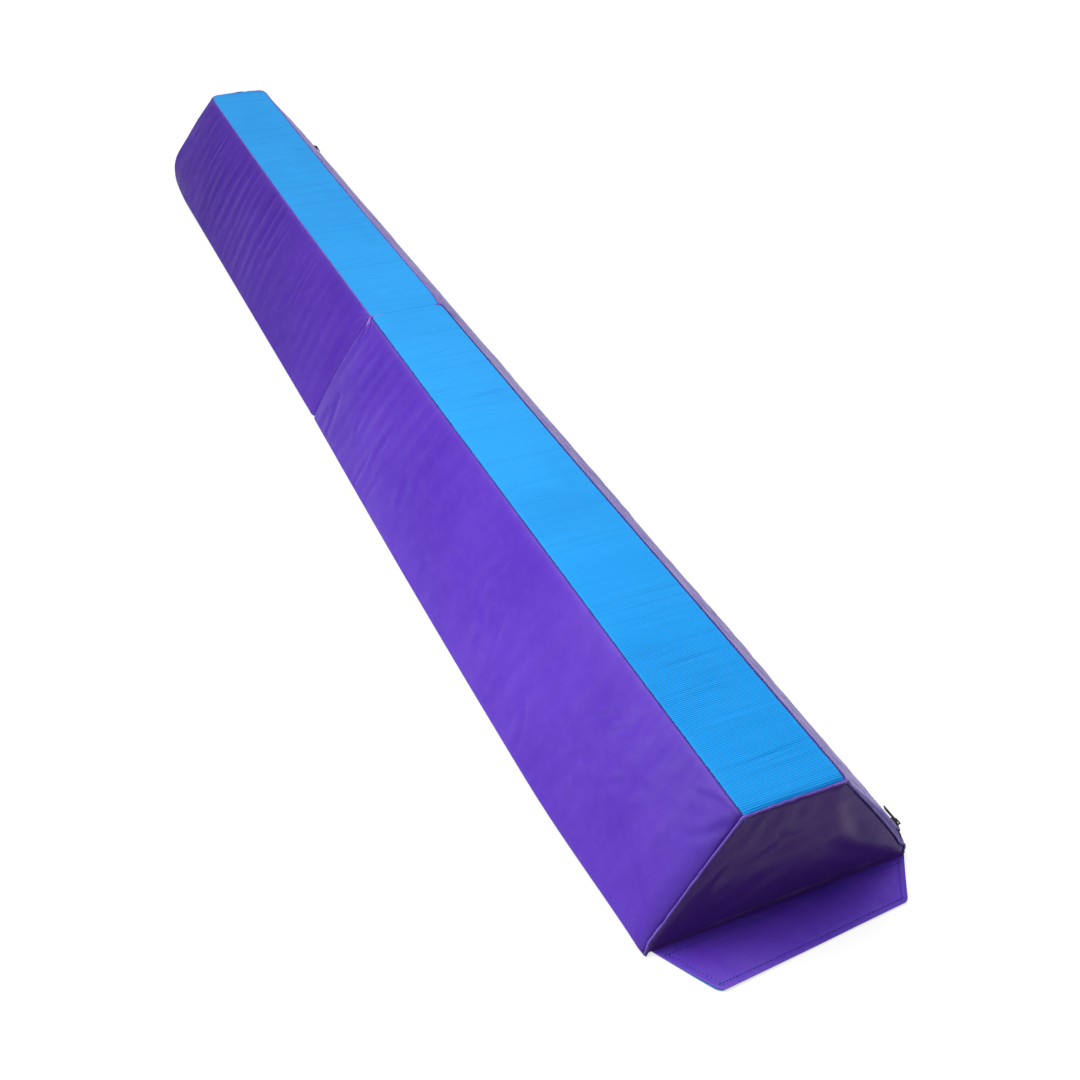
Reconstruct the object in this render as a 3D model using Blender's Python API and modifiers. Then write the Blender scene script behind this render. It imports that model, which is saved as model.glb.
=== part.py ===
"""Folding foam balance beam.

Two padded halves with a narrow top and a wide base meet at a fold line in the
middle. They are sewn together along the top of the fold, so the far half
swings up and over onto the near half. Each half is a foam core in a cover made
of separate panels, with a zip in the right side panel. A flap lies on the
floor at the near end.

Metres, +Z up. The beam runs along Y with the flap at -Y. The origin is on the
floor at the centre of the whole footprint, flap included.
"""

import bpy
import bmesh
from math import atan2, cos, pi, sin

# ---------------------------------------------------------------- dimensions
LENGTH = 2.400            # both halves together, flap left out
TOP_W = 0.127             # walking surface
BASE_W = 0.360
HEIGHT = 0.176
LEFT_CROWN = 0.006        # how far the foam fills out each side panel
RIGHT_CROWN = 0.015
RIGHT_FULLEST = 0.78      # the right side panel is fullest this far down

WALL = 0.0010             # cover cloth
GAP = 0.0003              # clearance between pieces that touch
END_INSET = 0.0036        # the outer end cover and the sleeve stop short of the corner
WELT_R = 0.0016           # round seam in that corner
WELT_IN = 0.0018
CORE_EDGE = 0.006         # rounding of the foam block

FLAP_REACH = 0.065        # from the near end face to the flap's outer edge
FLAP_ROOT_W = 0.336
FLAP_OUTER_W = 0.254
FLAP_CORNER_R = 0.006
FLAP_CLEAR = 0.0008
LINING_T = 0.0008

FOLD_CLEAR = 0.0012       # each half's covers stop this far from the fold plane
FOLD_AXIS_Z = HEIGHT + 0.0008
HINGE_TAPE_W = 0.116
HINGE_TAPE_DROP = 0.036
HINGE_TAPE_T = 0.0006

ZIP_S = 0.83              # place of the zip down the side panel: 0 top, 1 base
SLIT_W = 0.0120
TAPE_T = 0.0006
TAPE_W = 0.0140
CHAIN_W = 0.0060
CHAIN_BOTTOM = -0.0010
CHAIN_TOP = 0.0012
STOP_LEN = 0.0030
SLIDER_LEN = 0.0120
SLIDER_W = 0.0104
SLIDER_BOTTOM = -0.0008
SLIDER_TOP = 0.0032
CHANNEL_W = 0.0068
CHANNEL_TOP = 0.0016
BAIL_W = 0.0020
BAIL_LEN = 0.0084
BAIL_TOP = 0.0068
EYE_LEN = 0.0060
EYE_TOP = 0.0056
PULL_T = 0.0014
PULL_W = 0.0080
PULL_LEN = 0.0240
PULL_EYE_W = 0.0032
PULL_EYE_END = 0.0054
PULL_AXIS_N = 0.0044      # height of the pull's cross bar above the panel

NEAR_ZIP_INSET = 0.011    # near zip starts this far from the near end face
FAR_ZIP_INSET = 0.042     # far zip ends this far from the far end face
ZIP_FOLD_INSET = 0.060
TAPE_EXTRA = 0.007        # each tape runs on past the zip's ends

SIDE_STEPS = 24

# ------------------------------------------------------------ derived places
Y_NEAR = -(LENGTH - FLAP_REACH) / 2
Y_FAR = Y_NEAR + LENGTH
Y_FOLD = (Y_NEAR + Y_FAR) / 2

SLOPE_X = (BASE_W - TOP_W) / 2
SLOPE_LEN = (SLOPE_X ** 2 + HEIGHT ** 2) ** 0.5
SIDE_NX = HEIGHT / SLOPE_LEN
SIDE_NZ = SLOPE_X / SLOPE_LEN


def fullness(s, side):
    """How a side panel bulges down its slope, 1 at its fullest."""
    if side < 0:
        return 4 * s * (1 - s)
    if s < RIGHT_FULLEST:
        return sin(pi / 2 * s / RIGHT_FULLEST) ** 1.3
    return cos(pi / 2 * (s - RIGHT_FULLEST) / (1 - RIGHT_FULLEST))


def side_point(s, side, depth=0.0):
    """Point (x, z) on a side panel: s from 0 at the top to 1 at the base,
    side +1 right or -1 left, depth inwards from its outer surface."""
    crown = RIGHT_CROWN if side > 0 else LEFT_CROWN
    out = crown * fullness(s, side) - depth
    x = TOP_W / 2 + SLOPE_X * s + SIDE_NX * out
    z = HEIGHT * (1 - s) + SIDE_NZ * out
    return side * x, z


def side_line(s0, s1, side, depth, steps=SIDE_STEPS):
    return [side_point(s0 + (s1 - s0) * i / steps, side, depth)
            for i in range(steps + 1)]


def section(left_depth, right_depth, top, bottom):
    """Closed cross-section at the given depths inside the outer surface."""
    def side(sign, depth):
        line = []
        for i in range(201):
            x, z = side_point(i / 200, sign, depth)
            if bottom < z < top:
                line.append((x, z))
        keep = [line[round(i * (len(line) - 1) / SIDE_STEPS)]
                for i in range(SIDE_STEPS + 1)]
        return [(keep[0][0], top)] + keep[1:-1] + [(keep[-1][0], bottom)]
    return side(1, right_depth) + side(-1, left_depth)[::-1]


# ------------------------------------------------------------------- helpers
for old in list(bpy.data.objects):
    bpy.data.objects.remove(old, do_unlink=True)

parts = bpy.data.collections.new("folding_balance_beam")
bpy.context.scene.collection.children.link(parts)
cutters = bpy.data.collections.new("cutters")
bpy.context.scene.collection.children.link(cutters)


def material(name, colour, roughness, metallic=0.0):
    mat = bpy.data.materials.new(name)
    mat.use_nodes = True
    shader = mat.node_tree.nodes["Principled BSDF"]
    shader.inputs["Base Color"].default_value = (*colour, 1.0)
    shader.inputs["Roughness"].default_value = roughness
    shader.inputs["Metallic"].default_value = metallic
    return mat


PURPLE = (0.105, 0.050, 0.420)
BLUE = (0.030, 0.330, 0.880)
BLACK = (0.015, 0.015, 0.018)
FOAM = (0.620, 0.600, 0.560)


def empty(name, location, parent=None):
    obj = bpy.data.objects.new(name, None)
    obj.empty_display_size = 0.05
    parts.objects.link(obj)
    if parent:
        obj.parent = parent
        obj.location = [a - b for a, b in zip(location, world_of[parent.name])]
    else:
        obj.location = location
    world_of[name] = location
    return obj


world_of = {}


def add(obj, mat, axis=None):
    """Put a finished object in the model, parented to its joint's empty."""
    parts.objects.link(obj)
    obj.data.materials.append(mat)
    if axis:
        obj.parent = axis
        obj.location = [a - b for a, b in zip(obj.location, world_of[axis.name])]
    return obj


def outline_curve(name, outline, thickness):
    curve = bpy.data.curves.new(name, "CURVE")
    curve.dimensions = "2D"
    curve.fill_mode = "BOTH"
    curve.extrude = thickness / 2
    spline = curve.splines.new("POLY")
    spline.points.add(len(outline) - 1)
    for point, (u, v) in zip(spline.points, outline):
        point.co = (u, v, 0.0, 1.0)
    spline.use_cyclic_u = True
    return curve


def along_beam(name, outline, y0, y1, mat, axis=None):
    """Outline in X and Z, extruded along the beam from y0 to y1."""
    obj = bpy.data.objects.new(name, outline_curve(name, outline, y1 - y0))
    obj.rotation_euler = (pi / 2, 0, 0)
    obj.location = (0, (y0 + y1) / 2, 0)
    return add(obj, mat, axis)


def flat_plate(name, outline, z0, z1, mat, axis=None):
    """Outline in X and Y, extruded upwards from z0 to z1."""
    obj = bpy.data.objects.new(name, outline_curve(name, outline, z1 - z0))
    obj.location = (0, 0, (z0 + z1) / 2)
    return add(obj, mat, axis)


def as_mesh(obj):
    """The same piece as a welded mesh, so that it can be bevelled or cut."""
    bpy.context.view_layer.update()
    graph = bpy.context.evaluated_depsgraph_get()
    mesh = bpy.data.meshes.new_from_object(obj.evaluated_get(graph))
    bm = bmesh.new()
    bm.from_mesh(mesh)
    bmesh.ops.remove_doubles(bm, verts=bm.verts, dist=1e-6)
    bmesh.ops.recalc_face_normals(bm, faces=bm.faces)
    bm.to_mesh(mesh)
    bm.free()
    name, mat, axis = obj.name, obj.data.materials[0], obj.parent
    matrix = obj.matrix_basis.copy()
    bpy.data.objects.remove(obj, do_unlink=True)
    mesh.name = name
    mesh.materials.clear()
    mesh.materials.append(mat)
    new = bpy.data.objects.new(name, mesh)
    parts.objects.link(new)
    new.parent = axis
    new.matrix_basis = matrix
    return new


def box_mesh(name, u, v, w):
    """A box from (low, high) pairs along its own X, Y and Z."""
    mesh = bpy.data.meshes.new(name)
    bm = bmesh.new()
    bmesh.ops.create_cube(bm, size=1.0)
    for vert in bm.verts:
        for i, (low, high) in enumerate((u, v, w)):
            vert.co[i] = low + (high - low) * (vert.co[i] + 0.5)
    bm.to_mesh(mesh)
    bm.free()
    return mesh


def cutter(name, mesh, location, turn, axis=None):
    obj = bpy.data.objects.new(name, mesh)
    cutters.objects.link(obj)
    obj.hide_render = True
    obj.display_type = "WIRE"
    obj.rotation_euler = (0, turn, 0)
    obj.location = location
    if axis:
        obj.parent = axis
        obj.location = [a - b for a, b in zip(location, world_of[axis.name])]
    return obj


def boolean(obj, other, operation):
    mod = obj.modifiers.new(operation.lower(), "BOOLEAN")
    mod.object = other
    mod.operation = operation
    mod.solver = "EXACT"


def bevel(obj, width, segments=2, degrees=40.0):
    mod = obj.modifiers.new("rounded_edges", "BEVEL")
    mod.width = width
    mod.segments = segments
    mod.limit_method = "ANGLE"
    mod.angle_limit = degrees * pi / 180


# ------------------------------------------------------- the zip's own frame
def zip_frame():
    """Place and direction of the zip in the cross-section."""
    x0, z0 = side_point(ZIP_S - 0.01, 1)
    x1, z1 = side_point(ZIP_S + 0.01, 1)
    length = ((x1 - x0) ** 2 + (z1 - z0) ** 2) ** 0.5
    nx, nz = (z0 - z1) / length, (x1 - x0) / length
    x, z = side_point(ZIP_S, 1)
    return x, z, nx, nz


ZIP_X, ZIP_Z, ZIP_NX, ZIP_NZ = zip_frame()
ZIP_TURN = atan2(ZIP_NX, ZIP_NZ)          # turns +Z onto the panel's normal


def on_zip(t, n):
    """(x, z) at t down the slope and n out from the panel, from the zip line."""
    return ZIP_X + ZIP_NZ * t + ZIP_NX * n, ZIP_Z - ZIP_NX * t + ZIP_NZ * n


def zip_block(half_width, n0, n1):
    return [on_zip(-half_width, n0), on_zip(half_width, n0),
            on_zip(half_width, n1), on_zip(-half_width, n1)]


# -------------------------------------------------------------------- axes
fold_axis = empty("fold_axis", (0, Y_FOLD, FOLD_AXIS_Z))
flap_axis = empty("flap_axis", (0, Y_NEAR - 0.0018, 0.0011))


def build_half(tag, outer, inner, zip_near, zip_far, slider_y, outward, axis):
    """One half of the beam.

    outer and inner are the Y of its end faces, outward is -1 or +1 along Y
    towards the outer end.
    """
    def span(a, b):
        return (a, b) if a < b else (b, a)

    def cloth(name, colour, roughness):
        return material(f"{tag}_{name}", colour, roughness)

    sleeve = span(outer - outward * END_INSET, inner)
    core_depth = WALL + GAP
    zip_side_depth = core_depth + TAPE_T + GAP
    block = section(core_depth, zip_side_depth, HEIGHT - core_depth, core_depth)

    # foam block
    core = along_beam(f"{tag}_foam_core", block,
                      *span(outer - outward * (WALL + GAP),
                            inner + outward * (WALL + GAP)),
                      cloth("foam", FOAM, 0.9), axis)
    bevel(as_mesh(core), CORE_EDGE, 2)

    # cover panels round the block
    half_top = TOP_W / 2 - 0.0012
    along_beam(f"{tag}_top_cover",
               [(-half_top, HEIGHT - WALL), (half_top, HEIGHT - WALL),
                (half_top, HEIGHT), (-half_top, HEIGHT)],
               *sleeve, cloth("top_cloth", BLUE, 0.65), axis)
    along_beam(f"{tag}_left_cover",
               side_line(0, 0.988, -1, 0) + side_line(0.988, 0, -1, WALL),
               *sleeve, cloth("left_vinyl", PURPLE, 0.42), axis)
    right = along_beam(f"{tag}_right_cover",
                       side_line(0, 0.988, 1, 0) + side_line(0.988, 0, 1, WALL),
                       *sleeve, cloth("right_vinyl", PURPLE, 0.42), axis)
    right = as_mesh(right)
    slit = cutter(f"{tag}_zip_slit",
                  box_mesh(f"{tag}_zip_slit", (-SLIT_W / 2, SLIT_W / 2),
                           (-(zip_far - zip_near) / 2 - 0.004,
                            (zip_far - zip_near) / 2 + 0.004),
                           (-0.006, 0.006)),
                  (ZIP_X, (zip_near + zip_far) / 2, ZIP_Z), ZIP_TURN, axis)
    boolean(right, slit, "DIFFERENCE")
    half_base = BASE_W / 2
    along_beam(f"{tag}_base_cover",
               [(-half_base, 0), (half_base, 0),
                (half_base - 0.0004, WALL), (-half_base + 0.0004, WALL)],
               *span(outer, inner), cloth("base_cloth", BLUE, 0.7), axis)
    along_beam(f"{tag}_end_cover",
               section(END_INSET, END_INSET, HEIGHT - END_INSET, WALL + GAP),
               *span(outer, outer - outward * WALL),
               cloth("end_vinyl", PURPLE, 0.42), axis)
    along_beam(f"{tag}_inner_end_cover", block,
               *span(inner, inner + outward * WALL),
               cloth("inner_end_vinyl", PURPLE, 0.5), axis)

    # round seam in the corner between the end cover and the sleeve
    welt = bpy.data.curves.new(f"{tag}_end_welt", "CURVE")
    welt.dimensions = "3D"
    welt.bevel_depth = WELT_R
    welt.bevel_resolution = 2
    welt.use_fill_caps = True
    path = (side_line(0.975, 0.006, -1, WELT_IN, 12)
            + side_line(0.006, 0.975, 1, WELT_IN, 32))
    spline = welt.splines.new("POLY")
    spline.points.add(len(path) - 1)
    for point, (x, z) in zip(spline.points, path):
        point.co = (x, 0, z, 1.0)
    obj = bpy.data.objects.new(f"{tag}_end_welt", welt)
    obj.location = (0, outer - outward * WELT_IN, 0)
    add(obj, cloth("welt_vinyl", PURPLE, 0.42), axis)

    # hinge strip: this half's leaf of the cloth sewn between the inner ends
    leaf_far = Y_FOLD + outward * 0.0009
    leaf_near = Y_FOLD + outward * 0.0003
    top = FOLD_AXIS_Z - 0.0006
    along_beam(f"{tag}_hinge_tape",
               [(-HINGE_TAPE_W / 2, top - HINGE_TAPE_DROP),
                (HINGE_TAPE_W / 2, top - HINGE_TAPE_DROP),
                (HINGE_TAPE_W / 2, top), (-HINGE_TAPE_W / 2, top)],
               *span(leaf_near, leaf_far), cloth("hinge_cloth", PURPLE, 0.6), axis)

    # zip: two tapes under the slit's edges, the chain, and a stop at each end
    tape = cloth("zip_tape", BLACK, 0.8)
    ds = TAPE_W / SLOPE_LEN
    half_gap = 0.0004 / SLOPE_LEN
    for part, s0, s1 in (("upper", ZIP_S - ds, ZIP_S - half_gap),
                         ("lower", ZIP_S + half_gap, ZIP_S + ds)):
        along_beam(f"{tag}_zip_tape_{part}",
                   side_line(s0, s1, 1, WALL + GAP, 3)
                   + side_line(s1, s0, 1, WALL + GAP + TAPE_T, 3),
                   zip_near - TAPE_EXTRA, zip_far + TAPE_EXTRA, tape, axis)
    along_beam(f"{tag}_zip_chain",
               zip_block(CHAIN_W / 2, CHAIN_BOTTOM, CHAIN_TOP),
               zip_near + 0.0020, zip_far - 0.0020,
               cloth("zip_chain", BLACK, 0.45), axis)
    stop = cloth("zip_stop", BLACK, 0.3)
    for part, y in (("near", zip_near - 0.0002), ("far", zip_far + 0.0002)):
        along_beam(f"{tag}_zip_stop_{part}",
                   zip_block(0.0031, CHAIN_BOTTOM, CHAIN_TOP + 0.0003),
                   y - STOP_LEN / 2, y + STOP_LEN / 2, stop, axis)

    # slider: a channel over the chain, with a bail on top
    place = (ZIP_X, slider_y, ZIP_Z)
    slide_axis = empty(f"{tag}_zip_slider_axis", place, axis)
    half = SLIDER_LEN / 2
    slider = bpy.data.objects.new(
        f"{tag}_zip_slider",
        box_mesh(f"{tag}_zip_slider", (-SLIDER_W / 2, SLIDER_W / 2), (-half, half),
                 (SLIDER_BOTTOM, SLIDER_TOP)))
    slider.rotation_euler = (0, ZIP_TURN, 0)
    slider.location = place
    add(slider, material(f"{tag}_zip_slider", BLACK, 0.3, 0.6), slide_axis)
    bevel(slider, 0.0008, 2)
    boolean(slider, cutter(f"{tag}_slider_bail",
                           box_mesh("bail", (-BAIL_W / 2, BAIL_W / 2),
                                    (-BAIL_LEN / 2, BAIL_LEN / 2),
                                    (SLIDER_TOP - 0.0004, BAIL_TOP)),
                           place, ZIP_TURN, slide_axis), "UNION")
    boolean(slider, cutter(f"{tag}_slider_eye",
                           box_mesh("eye", (-BAIL_W, BAIL_W),
                                    (-EYE_LEN / 2, EYE_LEN / 2),
                                    (SLIDER_TOP + 0.00001, EYE_TOP)),
                           place, ZIP_TURN, slide_axis), "DIFFERENCE")
    boolean(slider, cutter(f"{tag}_slider_channel",
                           box_mesh("channel", (-CHANNEL_W / 2, CHANNEL_W / 2),
                                    (-half - 0.002, half + 0.002),
                                    (SLIDER_BOTTOM - 0.002, CHANNEL_TOP)),
                           place, ZIP_TURN, slide_axis), "DIFFERENCE")

    # pull tab, lying over the chain and turning on the bar inside the bail
    nx, nz = ZIP_NX, ZIP_NZ
    bar = (ZIP_X + nx * PULL_AXIS_N, slider_y, ZIP_Z + nz * PULL_AXIS_N)
    pull_axis = empty(f"{tag}_zip_pull_axis", bar, slide_axis)
    inward = -outward
    pull = bpy.data.objects.new(
        f"{tag}_zip_pull",
        box_mesh(f"{tag}_zip_pull", (-PULL_W / 2, PULL_W / 2),
                 span(-inward * PULL_T / 2, inward * PULL_LEN),
                 (-PULL_T / 2, PULL_T / 2)))
    pull.rotation_euler = (0, ZIP_TURN, 0)
    pull.location = bar
    add(pull, material(f"{tag}_zip_pull", BLACK, 0.3, 0.6), pull_axis)
    boolean(pull, cutter(f"{tag}_pull_eye",
                         box_mesh("pull_eye", (-PULL_EYE_W / 2, PULL_EYE_W / 2),
                                  span(inward * PULL_T / 2, inward * PULL_EYE_END),
                                  (-0.003, 0.003)),
                         bar, ZIP_TURN, pull_axis), "DIFFERENCE")
    boolean(pull, cutter(f"{tag}_pull_window",
                         box_mesh("pull_window", (-0.0018, 0.0018),
                                  span(inward * 0.0130, inward * 0.0205),
                                  (-0.003, 0.003)),
                         bar, ZIP_TURN, pull_axis), "DIFFERENCE")


build_half("near", Y_NEAR, Y_FOLD - FOLD_CLEAR,
           Y_NEAR + NEAR_ZIP_INSET, Y_FOLD - ZIP_FOLD_INSET,
           Y_NEAR + NEAR_ZIP_INSET + 0.0085, -1, None)
build_half("far", Y_FAR, Y_FOLD + FOLD_CLEAR,
           Y_FOLD + ZIP_FOLD_INSET, Y_FAR - FAR_ZIP_INSET,
           Y_FAR - FAR_ZIP_INSET - 0.0085, 1, fold_axis)


# ------------------------------------------------------------------ end flap
def flap_outline(margin):
    """Trapezoid, wide at the root, with two rounded outer corners."""
    root_y = Y_NEAR - FLAP_CLEAR
    outer_y = Y_NEAR - FLAP_REACH + margin
    r = FLAP_CORNER_R
    half_outer = FLAP_OUTER_W / 2 - margin
    half_root = FLAP_ROOT_W / 2 - margin
    lean = atan2(root_y - outer_y, half_root - half_outer)
    # centre of the corner's arc, tangent to the outer edge and the slanted edge
    cx = half_outer - r * (1 - cos(lean)) / sin(lean)
    cy = outer_y + r
    right = []
    steps = 6
    start, end = -pi / 2, -pi / 2 + lean
    for i in range(steps + 1):
        a = start + (end - start) * i / steps
        right.append((cx + r * cos(a), cy + r * sin(a)))
    points = right + [(half_root, root_y)]
    return points + [(-x, y) for x, y in reversed(points)]


flat_plate("flap_lining", flap_outline(0.0006), 0.0, LINING_T,
           material("flap_lining_cloth", BLUE, 0.75), flap_axis)
flat_plate("flap_cover", flap_outline(0.0), LINING_T + GAP, LINING_T + GAP + WALL,
           material("flap_vinyl", PURPLE, 0.42), flap_axis)
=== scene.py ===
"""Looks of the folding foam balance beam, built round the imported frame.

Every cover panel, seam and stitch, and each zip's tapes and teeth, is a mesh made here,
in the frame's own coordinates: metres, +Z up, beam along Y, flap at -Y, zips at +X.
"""

import math

import bpy
import numpy as np
from mathutils import Matrix, Vector


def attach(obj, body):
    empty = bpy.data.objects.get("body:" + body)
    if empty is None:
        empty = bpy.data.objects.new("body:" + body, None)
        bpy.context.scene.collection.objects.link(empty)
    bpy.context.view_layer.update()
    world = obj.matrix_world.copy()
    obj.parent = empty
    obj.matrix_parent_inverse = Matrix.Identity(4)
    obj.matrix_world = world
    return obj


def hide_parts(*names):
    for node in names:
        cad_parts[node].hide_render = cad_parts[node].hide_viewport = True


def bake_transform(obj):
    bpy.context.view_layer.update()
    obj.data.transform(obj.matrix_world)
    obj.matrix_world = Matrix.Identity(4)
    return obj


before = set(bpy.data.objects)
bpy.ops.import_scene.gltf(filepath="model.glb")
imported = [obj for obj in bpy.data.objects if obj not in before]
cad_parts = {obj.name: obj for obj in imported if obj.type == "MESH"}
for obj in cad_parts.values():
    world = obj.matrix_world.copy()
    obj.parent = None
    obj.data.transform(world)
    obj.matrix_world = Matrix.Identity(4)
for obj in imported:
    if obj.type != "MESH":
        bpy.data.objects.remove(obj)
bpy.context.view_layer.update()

# ------------------------------------------------------- the CAD's dimensions
LENGTH = 2.400
TOP_W = 0.127
BASE_W = 0.360
HEIGHT = 0.176
CROWN = {1: 0.015, -1: 0.006}
RIGHT_FULLEST = 0.78
FLAP_REACH = 0.065
FLAP_ROOT_W = 0.336
FLAP_OUTER_W = 0.254
FLAP_CORNER_R = 0.006
FLAP_CLEAR = 0.0008
FOLD_CLEAR = 0.0012
END_INSET = 0.0036
ZIP_S = 0.83

Y_NEAR = -(LENGTH - FLAP_REACH) / 2
Y_FAR = Y_NEAR + LENGTH
Y_FOLD = (Y_NEAR + Y_FAR) / 2
SLOPE_X = (BASE_W - TOP_W) / 2
SLOPE_LEN = math.hypot(SLOPE_X, HEIGHT)
SIDE_NX = HEIGHT / SLOPE_LEN
SIDE_NZ = SLOPE_X / SLOPE_LEN

HALVES = {
    "near": dict(body="near_half", outer=Y_NEAR, inner=Y_FOLD - FOLD_CLEAR, out=-1,
                 zip=(Y_NEAR + 0.011, Y_FOLD - 0.060), seed=11),
    "far": dict(body="far_half", outer=Y_FAR, inner=Y_FOLD + FOLD_CLEAR, out=1,
                zip=(Y_FOLD + 0.060, Y_FAR - 0.042), seed=47),
}

# --------------------------------------------------------- how the pieces sit
PANEL_T = 0.0010
TOP_LEVEL = 0.17560       # middle of the ribbed cloth's surface
TOP_LIMIT = 0.17650       # nothing on top rises over this: the fold's axis is above
RIB_PITCH = 0.00285
RIB_HEIGHT = 0.00015
FAR_ROUND = 0.030         # length over which the far end rounds off
FAR_DROP = 0.0014
FAR_ARCH = 0.005          # the far end stands out in its middle
FAR_CORNER = 0.032        # and its corners are drawn in
FAR_LEAN = 0.008          # the top leans right towards the far end
CORNER_PUFF = 0.0060      # stuffing in the near right bottom corner
NEAR_ROUND = 0.014        # the near end only dips in to its seam
NEAR_DROP = 0.0034
TAPER_LEN = 0.30          # near bottom left corner, drawn in
TAPER = 0.0100
FLAP_SHIFT = 0.012        # the flap is sewn on a little to the right


# ------------------------------------------------------------------- fields
def fullness(s, side):
    """How a side panel bulges down its slope, 1 at its fullest."""
    s = np.asarray(s, float)
    if side < 0:
        return 4 * s * (1 - s)
    rise = np.sin(math.pi / 2 * np.clip(s / RIGHT_FULLEST, 0, 1)) ** 1.3
    fall = np.cos(math.pi / 2 * np.clip((s - RIGHT_FULLEST) / (1 - RIGHT_FULLEST), 0, 1))
    return np.where(s < RIGHT_FULLEST, rise, fall)


def lattice_noise(u, v, cell_u, cell_v, seed):
    """Smooth noise from -1 to 1 on a lattice of random values."""
    table = np.random.default_rng(seed).uniform(-1, 1, (128, 128))
    a, b = u / cell_u + 1000, v / cell_v + 1000
    i, j = np.floor(a).astype(int), np.floor(b).astype(int)
    fa, fb = a - i, b - j
    fa = fa ** 3 * (fa * (fa * 6 - 15) + 10)
    fb = fb ** 3 * (fb * (fb * 6 - 15) + 10)

    def at(p, q):
        return table[p % 128, q % 128]

    low = at(i, j) * (1 - fa) + at(i + 1, j) * fa
    high = at(i, j + 1) * (1 - fa) + at(i + 1, j + 1) * fa
    return low * (1 - fb) + high * fb


def creases(u, v, lines):
    """Valleys with a soft ridge on each side, each fading at its ends.

    A line is (u0, v0, u1, v1, width, depth, bend)."""
    total = np.zeros_like(u)
    for u0, v0, u1, v1, width, depth, bend in lines:
        du, dv = u1 - u0, v1 - v0
        length = math.hypot(du, dv)
        along = ((u - u0) * du + (v - v0) * dv) / length ** 2
        near = (along > 0) & (along < 1)
        if not near.any():
            continue
        a = along[near]
        off = ((u[near] - u0) * dv - (v[near] - v0) * du) / length
        off = off - bend * 4 * a * (1 - a)
        fade = (4 * a * (1 - a)) ** 0.7
        total[near] += fade * depth * (
            -np.exp(-(off / width) ** 2)
            + 0.60 * np.exp(-((off - 1.8 * width) / (1.3 * width)) ** 2)
            + 0.35 * np.exp(-((off + 2.0 * width) / (1.5 * width)) ** 2))
    return total


def roll(distance, radius):
    """How far a panel's border has rolled in at a distance from its edge."""
    a = np.clip(1 - distance / radius, 0, 1)
    return radius * (1 - np.sqrt(np.clip(1 - a * a, 0, 1)))


def smooth(a, b, x):
    t = np.clip((np.asarray(x, float) - a) / (b - a), 0, 1)
    return t * t * (3 - 2 * t)


def steps(a, b, step, fine=(0.0, 0.00012, 0.0004, 0.0009, 0.0016, 0.0025)):
    """Coordinates from a to b, closer together towards both ends."""
    inner = np.linspace(a + fine[-1], b - fine[-1],
                        max(2, round((b - a - 2 * fine[-1]) / step) + 1))
    return np.concatenate([[a + f for f in fine[:-1]], inner,
                           [b - f for f in fine[:-1][::-1]]])


def crown(side, y):
    """How far the foam fills out a side panel: less at the ends, where the end
    seams hold the cover straight."""
    y = np.asarray(y, float)
    if side > 0:
        near = 0.52 + 0.48 * smooth(Y_NEAR - 0.001, Y_NEAR + 0.0090, y)
    else:
        near = 0.10 + 0.90 * smooth(Y_NEAR, Y_NEAR + 0.11, y)
    reach = 0.034 if side > 0 else 0.12
    far = 0.25 + 0.75 * smooth(Y_FAR, Y_FAR - reach, y)
    fold = 0.75 + 0.25 * smooth(0.0, 0.05, np.abs(y - Y_FOLD)) if side < 0 else 1.0
    return CROWN[side] * near * far * fold


def bulge_at(s, y, side):
    """How far a side panel stands out from the straight slope."""
    bulge = crown(side, y) * fullness(s, side)
    if side > 0:
        bulge = bulge + CORNER_PUFF * np.exp(-np.maximum(np.asarray(y) - Y_NEAR, 0) / 0.018) \
            * np.exp(-((np.asarray(s) - 0.935) / 0.05) ** 2)
    return bulge


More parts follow.
